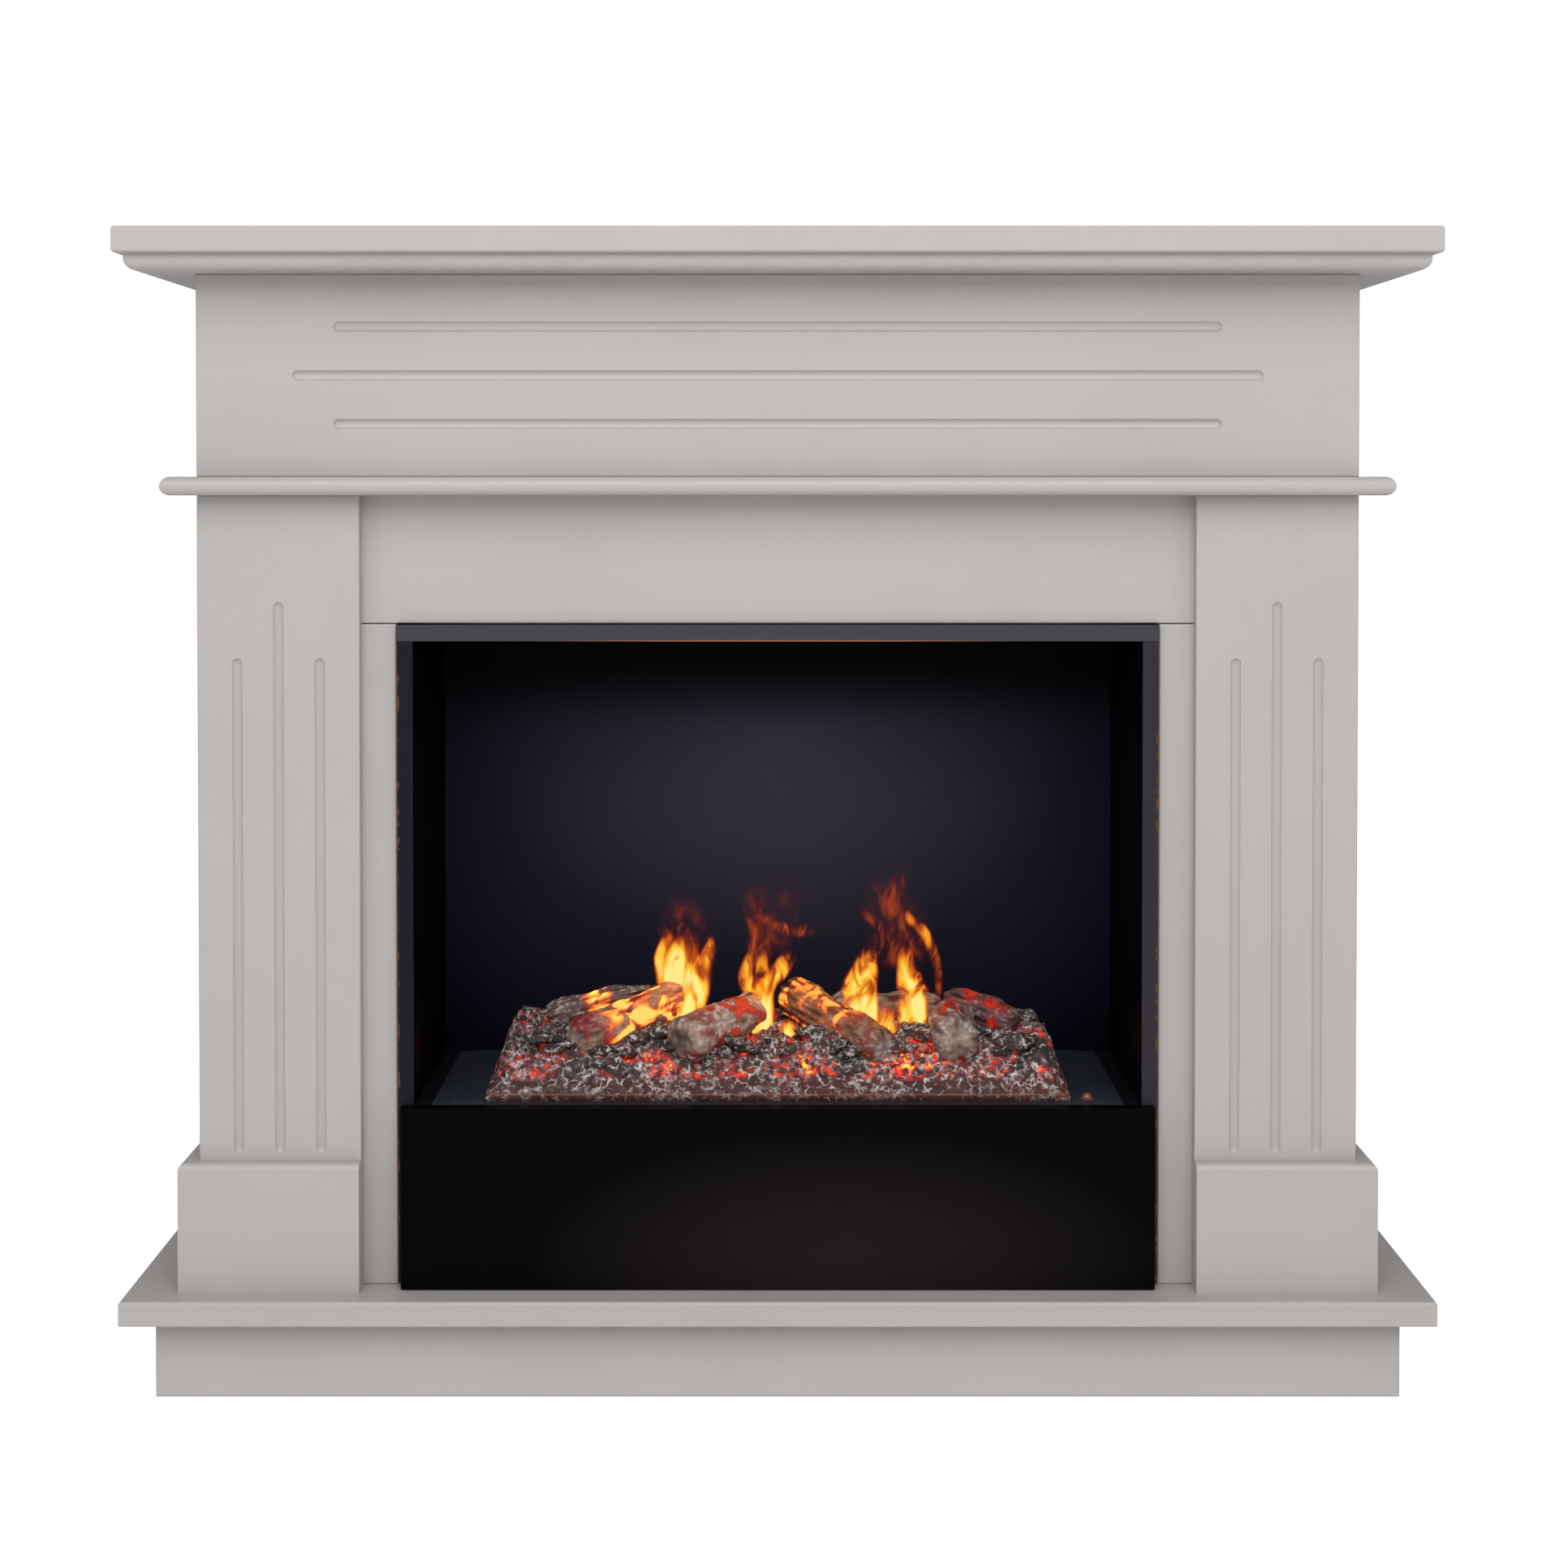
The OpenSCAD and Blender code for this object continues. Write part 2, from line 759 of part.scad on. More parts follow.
// tub that holds the working water, with the cradle for the tank and a well under its valve
well_h = 6;
module mist_chamber() {
    t = plastic_t;
    z = tray_floor;
    well_x0 = tank_cx - cap_r - 8;
    well_y = cap_r + 8;
    inset = 3;
    rail = 5;
    color("whitesmoke") difference() {
        union() {
            block([chamber_x0, chamber_y0, z], [chamber_x1, chamber_y1, chamber_z1]);
            block([well_x0, tank_cy - well_y, z], [chamber_x0 + t, tank_cy + well_y, z + well_h]);
            difference() {
                block([tank_x0 + inset, tank_y0 + inset, z], [tank_x1 - inset, tank_y1 - inset, tank_z0]);
                block([tank_x0 + inset + rail, tank_y0 + inset + rail, z - over],
                    [tank_x1 - inset - rail, tank_y1 - inset - rail, tank_z0 + over]);
            }
        }
        block([chamber_x0 + t, chamber_y0 + t, z + t], [chamber_x1 - t, chamber_y1 - t, chamber_z1 + over]);
        block([well_x0 + t, tank_cy - well_y + t, z + 1],
            [chamber_x0, tank_cy + well_y - t, z + well_h + over]);
        block([chamber_x0 - t, tank_cy - 10, z + t], [chamber_x0 + 2 * t, tank_cy + 10, z + well_h - 1]);
    }
    color("whitesmoke") translate([float_x, float_y, z + t - 0.5]) {
        cylinder(h = chamber_z1 - z - t, r = float_stem_r);
        cylinder(h = float_z - z - t + 0.5, r = float_stem_r + 2);
    }
}

// lid with the fan's air hole and the tall duct that takes the mist up to the logs
module mist_hood() {
    t = plastic_t;
    color("whitesmoke") difference() {
        union() {
            block([chamber_x0, chamber_y0, chamber_z1], [chamber_x1, chamber_y1, hood_z]);
            block([duct_x0, duct_y0, chamber_z1], [duct_x1, duct_y1, duct_z1]);
        }
        block([duct_x0 + t, duct_y0 + t, chamber_z1 - over], [duct_x1 - t, duct_y1 - t, duct_z1 + over]);
        translate([fan_x, fan_y, chamber_z1 - over]) cylinder(h = t + 2 * over, r = fan_size / 2 - 3);
    }
}

// ultrasonic mist maker: a block with three ceramic discs in its top
module transducer() {
    z = tray_floor + plastic_t;
    x = (duct_x0 + duct_x1) / 2;
    y = (duct_y0 + duct_y1) / 2;
    color("silver") difference() {
        block([x - 60, y - 22, z], [x + 60, y + 22, z + 14]);
        for (shift = [-38, 0, 38]) translate([x + shift, y, z + 10]) cylinder(h = 5, r = 10);
    }
}

blade_count = 7;
fan_hub_r = 11;
fan_shaft_r = 1.5;
module fan_frame() {
    r = fan_size / 2 - 2;
    color("#262626") translate([fan_x, fan_y, hood_z]) {
        difference() {
            translate([-fan_size / 2, -fan_size / 2, 0]) cube([fan_size, fan_size, fan_h]);
            translate([0, 0, -over]) cylinder(h = fan_h + 2 * over, r = r);
        }
        cylinder(h = 2, r = fan_hub_r);
        for (turn = [0:120:240]) rotate([0, 0, turn]) translate([0, -2, 0]) cube([r + 0.5, 4, 2]);
        cylinder(h = 10, r = fan_shaft_r);
    }
}

module fan_rotor() {
    tip_r = fan_size / 2 - 3.5;
    color("#303030") translate([fan_x, fan_y, hood_z + 3]) {
        difference() {
            union() {
                cylinder(h = 11, r = fan_hub_r);
                intersection() {
                    cylinder(h = 11, r = tip_r);
                    for (i = [0:blade_count - 1]) rotate([0, 0, i * 360 / blade_count])
                        translate([fan_hub_r - 1, 0, 5.5]) rotate([35, 0, 0])
                            translate([0, -6.5, -0.6]) cube([tip_r, 13, 1.2]);
                }
            }
            translate([0, 0, -over]) cylinder(h = 9, r = fan_shaft_r + 0.05);
        }
    }
}

// water tank with its neck underneath, and a finger recess across its top
module water_tank() {
    t = plastic_t;
    r = 12;
    radii = [r, r, r, r];
    inner = [r - t, r - t, r - t, r - t];
    color("lightsteelblue") difference() {
        union() {
            translate([0, 0, tank_z0]) linear_extrude(tank_h)
                rounded_rect(tank_x0, tank_y0, tank_x1, tank_y1, radii);
            translate([tank_cx, tank_cy, tank_z0 - 6]) cylinder(h = 7, r = neck_r);
        }
        translate([0, 0, tank_z0 + t]) linear_extrude(tank_h - 2 * t)
            rounded_rect(tank_x0 + t, tank_y0 + t, tank_x1 - t, tank_y1 - t, inner);
        translate([tank_cx, tank_cy, tank_z0 - 7]) cylinder(h = 10 + t, r = neck_r - t);
    }
}

// screw cap over the neck, with its spring valve's boss and grip ribs
module tank_cap() {
    z0 = tray_floor + 3;
    depth = tank_z0 - z0 - 0.5;
    color("steelblue") translate([tank_cx, tank_cy, z0]) {
        difference() {
            union() {
                cylinder(h = depth, r = cap_r - 1);
                for (i = [0:11]) rotate([0, 0, i * 30])
                    translate([cap_r - 1.5, -1.5, 0]) cube([1.5, 3, depth]);
            }
            translate([0, 0, 2]) cylinder(h = depth, r = neck_r + 0.4);
        }
        cylinder(h = 5, r = 5);
    }
}

module float_ring() {
    color("orange") translate([float_x, float_y, float_z]) difference() {
        cylinder(h = float_h, r = float_r);
        translate([0, 0, -over]) cylinder(h = float_h + 2 * over, r = float_stem_r + 0.5);
    }
}

// box with the mains rocker and two buttons in its top
module control_box() {
    t = 2;
    lug = 2.5;
    lug_x = rocker_w / 2 + 0.5;
    color("#2b2b2e") {
        difference() {
            block([control_x0, control_y0, tray_floor], [control_x1, control_y1, control_z1]);
            block([control_x0 + t, control_y0 + t, tray_floor - over],
                [control_x1 - t, control_y1 - t, control_z1 - t]);
            block([rocker_x - lug_x, rocker_y - rocker_window, control_z1 - t - over],
                [rocker_x + lug_x, rocker_y + rocker_window, control_z1 + over]);
            button_spots() translate([0, 0, control_z1 - t - over])
                cylinder(h = t + 2 * over, r = button_r + 0.3);
        }
        for (x = [rocker_x - lug_x - lug, rocker_x + lug_x]) difference() {
            block([x, rocker_y - 4, rocker_z - 4], [x + lug, rocker_y + 4, control_z1 - t + 0.5]);
            translate([x - over, rocker_y, rocker_z]) rotate([0, 90, 0])
                cylinder(h = lug + 2 * over, r = rocker_pin_r + 0.05);
        }
    }
}

module button_spots() {
    for (shift = [-1, 1]) translate([rocker_x + shift * button_pitch / 2, button_y, 0]) children();
}

// circuit board under the switches, held between the walls of the box
module control_board() {
    t = 2;
    switch_h = 4;
    color("seagreen") {
        block([control_x0 + t, control_y0 + t, board_z], [control_x1 - t, control_y1 - t, board_z + 1.6]);
        button_spots() translate([-3, -3, board_z]) cube([6, 6, 1.6 + switch_h]);
        block([rocker_x - 20, button_y - 10, board_z - 18], [rocker_x + 20, button_y + 26, board_z]);
    }
}

module mains_rocker() {
    half = rocker_l / 2;
    pin = rocker_w / 2 + 2.5;
    color("firebrick") translate([rocker_x, rocker_y, rocker_z]) rotate([rocker_tilt, 0, 0]) {
        translate([-rocker_w / 2, 0, 0]) rotate([90, 0, 90]) linear_extrude(rocker_w)
            polygon([[1 - half, 3], [-4, -3.5], [4, -3.5], [half - 1, 3],
                [half - 0.5, 7.6], [0, 6.2], [0.5 - half, 7.6]]);
        translate([-pin, 0, 0]) rotate([0, 90, 0]) cylinder(h = 2 * pin, r = rocker_pin_r);
    }
}

module push_button(shift) {
    color("white") translate([rocker_x + shift * button_pitch / 2, button_y, control_z1 - button_depth]) {
        cylinder(h = button_depth + button_rise, r = button_r);
        cylinder(h = 2, r = button_r + 1.5);
    }
}

mantel_board();
mantel_moulding();
frieze_front();
frieze_sides();
mid_moulding();
column_front(-1);  // column_front_left
column_front(1);  // column_front_right
column_sides();
niche_sides();
plinth_wrap(-1);  // plinth_wrap_left
plinth_wrap(1);  // plinth_wrap_right
head_panel();
stile(-1);  // stile_left
stile(1);  // stile_right
hearth_board();
kick_front();
kick_sides();
kick_rail();
frieze_back();
column_backs();
back_screws();
wall_brackets();
housing_top();
housing_side(-1);  // housing_side_left
housing_side(1);  // housing_side_right
housing_back();
housing_deck();
housing_feet();
burner_tray();
cover_plates();
ir_lens();
lamps();
power_supply();
mains_inlet();
runner_outer();
runner_middle();
runner_inner();
ember_bed();
log_piece(0);  // log_back_left
log_piece(1);  // log_front_left
log_piece(2);  // log_stub
log_piece(3);  // log_cross
log_piece(4);  // log_rear
log_piece(5);  // log_round
log_piece(6);  // log_back_right
drawer_front();
drawer_tray();
mist_chamber();
mist_hood();
transducer();
fan_frame();
fan_rotor();
water_tank();
tank_cap();
float_ring();
control_box();
control_board();
mains_rocker();
push_button(-1);  // button_flame
push_button(1);  // button_sound
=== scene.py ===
# %% [markdown]
# # An electric fireplace with a painted mantel surround
# The surround is fibreboard sprayed in warm grey satin paint. A black board housing stands in
# it, with a moulded log bed inside. The flames are water mist, lit from below by lamps, and a
# drawer under the bed holds the water and the mist maker.
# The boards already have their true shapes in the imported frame, so they only need finishes here.
# The ember bed, the logs and the flames are modelled in this file.

# %% Load the frame
import json
import math
import random

import bmesh
import bpy
from mathutils import Matrix, Vector, noise


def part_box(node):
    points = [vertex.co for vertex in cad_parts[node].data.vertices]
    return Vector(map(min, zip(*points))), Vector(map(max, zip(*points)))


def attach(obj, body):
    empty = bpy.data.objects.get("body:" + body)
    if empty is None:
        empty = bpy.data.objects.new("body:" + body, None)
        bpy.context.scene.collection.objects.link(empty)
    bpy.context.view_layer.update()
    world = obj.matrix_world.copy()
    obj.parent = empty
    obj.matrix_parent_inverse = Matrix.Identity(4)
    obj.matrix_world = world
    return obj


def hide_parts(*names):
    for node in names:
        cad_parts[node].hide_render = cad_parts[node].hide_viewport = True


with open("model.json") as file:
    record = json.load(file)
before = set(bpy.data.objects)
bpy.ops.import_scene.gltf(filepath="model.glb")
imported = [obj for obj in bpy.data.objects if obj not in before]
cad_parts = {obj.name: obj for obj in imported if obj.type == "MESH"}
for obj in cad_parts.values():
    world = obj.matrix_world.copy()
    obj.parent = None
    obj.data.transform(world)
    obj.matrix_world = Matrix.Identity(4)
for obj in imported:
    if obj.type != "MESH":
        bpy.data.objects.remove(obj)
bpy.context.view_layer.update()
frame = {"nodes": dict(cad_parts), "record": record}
nodes = frame["nodes"]

# %% [markdown]
# ## Places
# Every later position is read from the frame's boxes, so a change of size in the part moves the
# modelled pieces with it. The bed box gives the banked ember bed, and the housing boxes give the
# faces where the laminate changes from its edge to its inside.

# %% Places
bed_low, bed_high = (Vector(corner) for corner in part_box("ember_bed"))
side_low, side_high = (Vector(corner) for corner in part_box("housing_side_right"))
back_low, back_high = (Vector(corner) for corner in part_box("housing_back"))
top_low = Vector(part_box("housing_top")[0])
drawer_low, drawer_high = (Vector(corner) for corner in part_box("drawer_front"))
BED_HALF = bed_high.x
BED_FRONT = bed_low.y
BED_BACK = bed_high.y
BED_FLOOR = bed_low.z
BED_RISE = bed_high.z - bed_low.z
MM = 0.001
print("bed", round(2 * BED_HALF, 3), "wide,", round(BED_BACK - BED_FRONT, 3), "deep")

# %% [markdown]
# ## Helpers for materials
# Each finish is a small node tree. A helper adds one node, sets its inputs by name and returns it,
# which keeps the recipes short enough to read. All patterns use Object coordinates. The objects
# sit at the origin, so one unit of the pattern is one metre of the real thing.

# %% Material helpers
def put(tree, kind, at=None, **values):
    """Adds a node. Plain words set its properties; keys of at set its inputs."""
    node = tree.nodes.new(kind)
    for key, value in values.items():
        setattr(node, key, value)
    for key, value in (at or {}).items():
        socket = node.inputs[key]
        if isinstance(value, bpy.types.NodeSocket):
            tree.links.new(value, socket)
        else:
            socket.default_value = value
    return node


def new_finish(name, **settings):
    """A material with one Principled BSDF, whose even values go straight on its sockets."""
    made = bpy.data.materials.new(name)
    made.use_nodes = True
    tree = made.node_tree
    shader = tree.nodes["Principled BSDF"]
    for key, value in settings.items():
        shader.inputs[key.replace("_", " ")].default_value = value
    place = put(tree, "ShaderNodeTexCoord").outputs["Object"]
    return made, tree, shader, place


def ramp(tree, value, *stops):
    """A colour ramp from (position, colour) pairs."""
    node = put(tree, "ShaderNodeValToRGB", {"Fac": value})
    band = node.color_ramp
    while len(band.elements) < len(stops):
        band.elements.new(0.5)
    for element, (position, colour) in zip(band.elements, stops):
        element.position = position
        element.color = (*colour, 1.0)
    return node.outputs["Color"]


def between(tree, value, low, high, to_low=0.0, to_high=1.0):
    """Maps low..high of a value to to_low..to_high, held at the ends."""
    return put(tree, "ShaderNodeMapRange", {"Value": value, "From Min": low, "From Max": high,
               "To Min": to_low, "To Max": to_high}, interpolation_type="SMOOTHSTEP").outputs["Result"]


def fading(tree, value, low, high, to_high=0.0):
    """Falls from 1 to to_high between low and high."""
    return between(tree, value, low, high, 1.0, to_high)


def maths(tree, operation, *values, clamp=False):
    inputs = dict(enumerate(values))
    return put(tree, "ShaderNodeMath", inputs, operation=operation, use_clamp=clamp).outputs[0]


def times(tree, first, *others, clamp=False):
    """The product of several values, held to 0..1 at the last step if clamp is set."""
    for other in others[:-1]:
        first = maths(tree, "MULTIPLY", first, other)
    return maths(tree, "MULTIPLY", first, others[-1], clamp=clamp)


def vector_maths(tree, operation, a, b):
    return put(tree, "ShaderNodeVectorMath", {0: a, 1: b}, operation=operation).outputs[0]


def axes(tree, vector):
    """The X, Y and Z of a vector."""
    return put(tree, "ShaderNodeSeparateXYZ", {0: vector}).outputs


def distance_from(tree, place, centre, squeeze):
    """How far a point is from a centre, with each axis scaled by squeeze."""
    offset = vector_maths(tree, "SUBTRACT", place, centre)
    flat = vector_maths(tree, "MULTIPLY", offset, squeeze)
    return put(tree, "ShaderNodeVectorMath", {0: flat}, operation="LENGTH").outputs["Value"]


def mark(tree, name):
    """A value that the mesh carries at each of its points."""
    return put(tree, "ShaderNodeAttribute", attribute_name=name).outputs["Fac"]


def blend_colour(tree, factor, a, b, kind="MIX"):
    node = put(tree, "ShaderNodeMix", data_type="RGBA", blend_type=kind)
    for socket, value in ((node.inputs[0], factor), (node.inputs[6], a), (node.inputs[7], b)):
        if isinstance(value, bpy.types.NodeSocket):
            tree.links.new(value, socket)
        else:
            socket.default_value = value
    return node.outputs[2]


def cloud(tree, place, scale, detail=3.0, distortion=0.0, roughness=0.5):
    return put(tree, "ShaderNodeTexNoise", {"Vector": place, "Scale": scale, "Detail": detail,
               "Roughness": roughness, "Distortion": distortion}).outputs["Fac"]


def bump(tree, shader, height, strength, distance):
    node = put(tree, "ShaderNodeBump", {"Height": height, "Strength": strength, "Distance": distance})
    tree.links.new(node.outputs["Normal"], shader.inputs["Normal"])


def rgba(r, g, b):
    return (r, g, b, 1.0)


def shaded(colour, share):
    """A colour made darker or lighter by a share."""
    return [c * share for c in colour]


# %% [markdown]
# ## Two effects that many finishes share
# Sprayed and moulded surfaces are never perfectly even. The first group gives slow, faint
# patchiness and a fine pebbled height, as paint and moulded plastic have. The second gives
# stretched fibres, for board, hardboard and brushed or rolled metal.

# %% Shared effects
def effect(name, inputs):
    """An empty node group with named inputs, and the outputs Tone and Height."""
    group = bpy.data.node_groups.new(name, "ShaderNodeTree")
    group.interface.new_socket("Place", in_out="INPUT", socket_type="NodeSocketVector")
    for label, value in inputs.items():
        socket = group.interface.new_socket(label, in_out="INPUT", socket_type="NodeSocketFloat")
        socket.default_value = value
    for label in ("Tone", "Height"):
        group.interface.new_socket(label, in_out="OUTPUT", socket_type="NodeSocketFloat")
    return group, put(group, "NodeGroupInput").outputs, put(group, "NodeGroupOutput").inputs


pebble, given, result = effect("sprayed_pebble", {"Patch Scale": 6.0, "Pebble Scale": 700.0})
patches = cloud(pebble, given["Place"], given["Patch Scale"], 3.0)
pebbles = cloud(pebble, given["Place"], given["Pebble Scale"], 2.0)
pebble.links.new(patches, result["Tone"])
pebble.links.new(pebbles, result["Height"])

fibre, given, result = effect("drawn_fibre", {"Fibre Scale": 260.0})
stretch = put(fibre, "ShaderNodeMapping", {"Vector": given["Place"], "Scale": (0.06, 1.0, 1.0)}).outputs[0]
lines = cloud(fibre, stretch, given["Fibre Scale"], 4.0, roughness=0.6)
fibre.links.new(lines, result["Tone"])
fibre.links.new(lines, result["Height"])
print("effects", pebble.name, fibre.name)


def surface(tree, place, group, **values):
    node = put(tree, "ShaderNodeGroup")
    node.node_tree = group
    tree.links.new(place, node.inputs["Place"])
    for key, value in values.items():
        node.inputs[key.replace("_", " ")].default_value = value
    return node.outputs["Tone"], node.outputs["Height"]


def even_finish(name, colour, group=pebble, spread=0.06, rough=0.4, depth=0.00003, grip=0.25, scales=None,
                **settings):
    """A finish of one colour, a little uneven in tone and gloss, over a fine relief."""
    made, tree, shader, place = new_finish(name, **settings)
    tone, height = surface(tree, place, group, **(scales or {}))
    painted = ramp(tree, tone, (0.3, shaded(colour, 1 - spread)), (0.7, shaded(colour, 1 + spread)))
    tree.links.new(painted, shader.inputs["Base Color"])
    tree.links.new(between(tree, tone, 0.25, 0.75, rough - 0.05, rough + 0.05), shader.inputs["Roughness"])
    bump(tree, shader, height, grip, depth)
    return made


# %% [markdown]
# ## Painted, laminated and metal finishes
# The paint is a warm light grey. Its pebble is a fraction of a millimetre, so it only softens the
# highlights on the rounded edges. The laminate is nearly black, with a fine fibre. Metal parts get
# a drawn grain. The parts in the drawer are moulded plastic.

# %% Finishes
paint = even_finish("grey_satin_paint", (0.383, 0.363, 0.354), spread=0.018, rough=0.45, depth=0.00004)
bare_board = even_finish("bare_fibreboard", (0.42, 0.29, 0.17), fibre, spread=0.16, rough=0.8, depth=0.0001)
hardboard = even_finish("smooth_hardboard", (0.24, 0.13, 0.065), spread=0.2, rough=0.6,
                        depth=0.00008, scales={"Patch_Scale": 90.0, "Pebble_Scale": 900.0})
slate_metal = even_finish("slate_powder_coat", (0.022, 0.026, 0.038), spread=0.15, rough=0.42,
                          depth=0.00006, scales={"Pebble_Scale": 1400.0}, Specular_IOR_Level=0.12)
zinc = even_finish("zinc_plate", (0.30, 0.31, 0.33), fibre, spread=0.12, rough=0.42,
                   depth=0.00002, Metallic=1.0)
stainless = even_finish("stainless_block", (0.48, 0.49, 0.50), fibre, spread=0.08, rough=0.28,
                        depth=0.00002, Metallic=1.0)
mist_plastic = even_finish("white_moulded_plastic", (0.70, 0.71, 0.70), spread=0.03, rough=0.45)
black_plastic = even_finish("black_moulded_plastic", (0.014, 0.014, 0.016), spread=0.2, rough=0.5,
                            scales={"Pebble_Scale": 1800.0})
tank_plastic = even_finish("tinted_tank_plastic", (0.42, 0.56, 0.66), spread=0.04, rough=0.18, Alpha=0.6)
cap_plastic = even_finish("blue_cap_plastic", (0.03, 0.13, 0.30), spread=0.06, rough=0.35)
float_foam = even_finish("orange_float_foam", (0.62, 0.20, 0.03), spread=0.12, rough=0.85,
                         depth=0.0003, grip=0.6)
circuit = even_finish("green_circuit_board", (0.02, 0.16, 0.06), fibre, spread=0.3, rough=0.4)
rocker_red = even_finish("red_rocker_plastic", (0.45, 0.02, 0.015), spread=0.05, rough=0.3)
key_white = even_finish("white_key_plastic", (0.75, 0.75, 0.73), spread=0.03, rough=0.35)
foot_rubber = even_finish("black_foot_rubber", (0.02, 0.02, 0.02), spread=0.2, rough=0.85)
lamp_glass = even_finish("warm_lamp_glass", (0.9, 0.75, 0.45), spread=0.05, rough=0.2,
                         Emission_Color=rgba(1.0, 0.62, 0.25), Emission_Strength=1.5)
# The amber window has a faint painted orange glow in its finish.
amber = even_finish("amber_window", (0.13, 0.045, 0.018), spread=0.12, rough=0.22, Coat_Weight=0.4,
                    Emission_Color=rgba(0.9, 0.25, 0.02), Emission_Strength=0.03)

# %% [markdown]
# ## Laminated housing boards
# The boards are faced in black inside and edged with a slate band where the front edge shows.
# The outer face of each side board is the raw, brown board that slides into the surround. One
# finish does all three: it reads how far forward and how far out a point lies. The top board also
# carries painted lamp light: a thin warm glow along the lower edge of its front.

# %% Housing laminate
RAW_BOARD = (0.10, 0.05, 0.025)
LAMP_LINE = (0.50, 0.13, 0.02)


def housing_finish(name, edge, inside, raw_outside=False, lit_line=False):
    made, tree, shader, place = new_finish(name, Coat_Weight=0.0, Specular_IOR_Level=0.05)
    tone, height = surface(tree, place, fibre, Fibre_Scale=420.0)
    where = axes(tree, place)
    across = maths(tree, "ABSOLUTE", where["X"])
    forward = maths(tree, "LESS_THAN", where["Y"], side_low.y + 0.6 * MM)
    dark = blend_colour(tree, tone, rgba(*shaded(inside, 0.8)), rgba(*shaded(inside, 1.25)))
    band = blend_colour(tree, tone, rgba(*shaded(edge, 0.88)), rgba(*shaded(edge, 1.12)))
    colour = blend_colour(tree, forward, dark, band)
    if raw_outside:
        chips = between(tree, cloud(tree, place, 90.0, 3.0), 0.50, 0.66, 0.7 * MM, 2.6 * MM)
        raw = maths(tree, "GREATER_THAN", maths(tree, "ADD", across, chips), side_high.x)
        colour = blend_colour(tree, raw, colour, rgba(*RAW_BOARD))
    tree.links.new(colour, shader.inputs["Base Color"])
    # The lit line is painted lamp light: a glow low on the front edge of the top board, strongest in the
    # middle.
    if lit_line:
        under = fading(tree, where["Z"], top_low.z, top_low.z + 1.6 * MM)
        middle = fading(tree, across, 0.25 * BED_HALF, 0.85 * BED_HALF)
        warm = times(tree, under, middle, forward)
        shine = ramp(tree, warm, (0.0, (0.0, 0.0, 0.0)), (1.0, LAMP_LINE))
        tree.links.new(shine, shader.inputs["Emission Color"])
        shader.inputs["Emission Strength"].default_value = 1.0
    tree.links.new(between(tree, tone, 0.3, 0.7, 0.40, 0.5), shader.inputs["Roughness"])
    bump(tree, shader, height, 0.15, 0.00003)
    return made


# One slate laminate in three tones: its band and inside are darkest on the left board and lightest on the
# top board. These differences are painted shade and light.
housing_top_finish = housing_finish("slate_edged_top", (0.046, 0.047, 0.056), (0.0015, 0.0015, 0.002),
                                    lit_line=True)
housing_left_finish = housing_finish("slate_edged_left", (0.010, 0.0105, 0.017), (0.0006, 0.0006, 0.0009),
                                     raw_outside=True)
housing_right_finish = housing_finish("slate_edged_right", (0.027, 0.0245, 0.031), (0.0012, 0.0009, 0.0014),
                                      raw_outside=True)
deck_finish = housing_finish("black_floor_board", (0.006, 0.006, 0.008), (0.006, 0.006, 0.008))

# %% [markdown]
# The drawer front is the blackest board of all. A soft brown reflection low on its right is a
# painted sheen, put in as a round patch of slightly lighter colour.

# %% Drawer front
drawer_finish, tree, shader, place = new_finish("black_drawer_laminate", Specular_IOR_Level=0.03)
tone, height = surface(tree, place, fibre, Fibre_Scale=420.0)
drawer_rise = drawer_high.z - drawer_low.z
low_right = Vector((0.18 * drawer_high.x, drawer_low.y, drawer_low.z + 0.15 * drawer_rise))
away = distance_from(tree, place, low_right, (0.42, 0.0, 1.0))
sheen = ramp(tree, away, (0.0, (0.0130, 0.0090, 0.0105)), (0.06, (0.0090, 0.0065, 0.0078)),
             (0.13, (0.0010, 0.0008, 0.0010)))
# The painted sheen, with the board's fibre laid over it.
grain = blend_colour(tree, 0.10, sheen, tone, "OVERLAY")
tree.links.new(grain, shader.inputs["Base Color"])
tree.links.new(between(tree, tone, 0.3, 0.7, 0.34, 0.42), shader.inputs["Roughness"])
bump(tree, shader, height, 0.2, 0.00002)

# %% [markdown]
# The back panel is a very dark blue board with a soft sheen. Its colour carries painted light and
# shade: a painted pool of light in its upper middle that falls away to near black at the floor and
# in the corners, and a painted shadow under the top board. A slow radial fade on Object
# coordinates gives the pool, and a band under the top board gives the shadow, with a fine fibre
# over it. Only the side towards the fire has it, and the outer side is plain black board.

# %% Back panel
navy, tree, shader, place = new_finish("dark_navy_panel", Specular_IOR_Level=0.05)
tone, height = surface(tree, place, fibre, Fibre_Scale=600.0)
# Centre of the painted pool of light, which falls to painted shade at the floor and corners.
centre = Vector((0.0, back_low.y, back_low.z + 0.80 * (back_high.z - back_low.z)))
away = distance_from(tree, place, centre, (0.72, 0.0, 1.0))
glow = ramp(tree, away, (0.0, (0.042, 0.041, 0.070)), (0.11, (0.028, 0.028, 0.048)),
            (0.23, (0.009, 0.010, 0.022)), (0.40, (0.0006, 0.0012, 0.006)))
panel_colour = blend_colour(tree, 0.10, glow, tone, "OVERLAY")
where = axes(tree, place)
# The painted shadow of the top board, across the top of the panel.
shade = between(tree, where["Z"], top_low.z - 115 * MM, top_low.z - 38 * MM)
panel_colour = blend_colour(tree, shade, panel_colour, rgba(0.0008, 0.0006, 0.0010))
outside = maths(tree, "GREATER_THAN", where["Y"], back_low.y + 0.5 * MM)
panel_colour = blend_colour(tree, outside, panel_colour, rgba(0.009, 0.009, 0.011))
tree.links.new(panel_colour, shader.inputs["Base Color"])
tree.links.new(between(tree, tone, 0.3, 0.7, 0.48, 0.58), shader.inputs["Roughness"])
bump(tree, shader, height, 0.1, 0.00003)

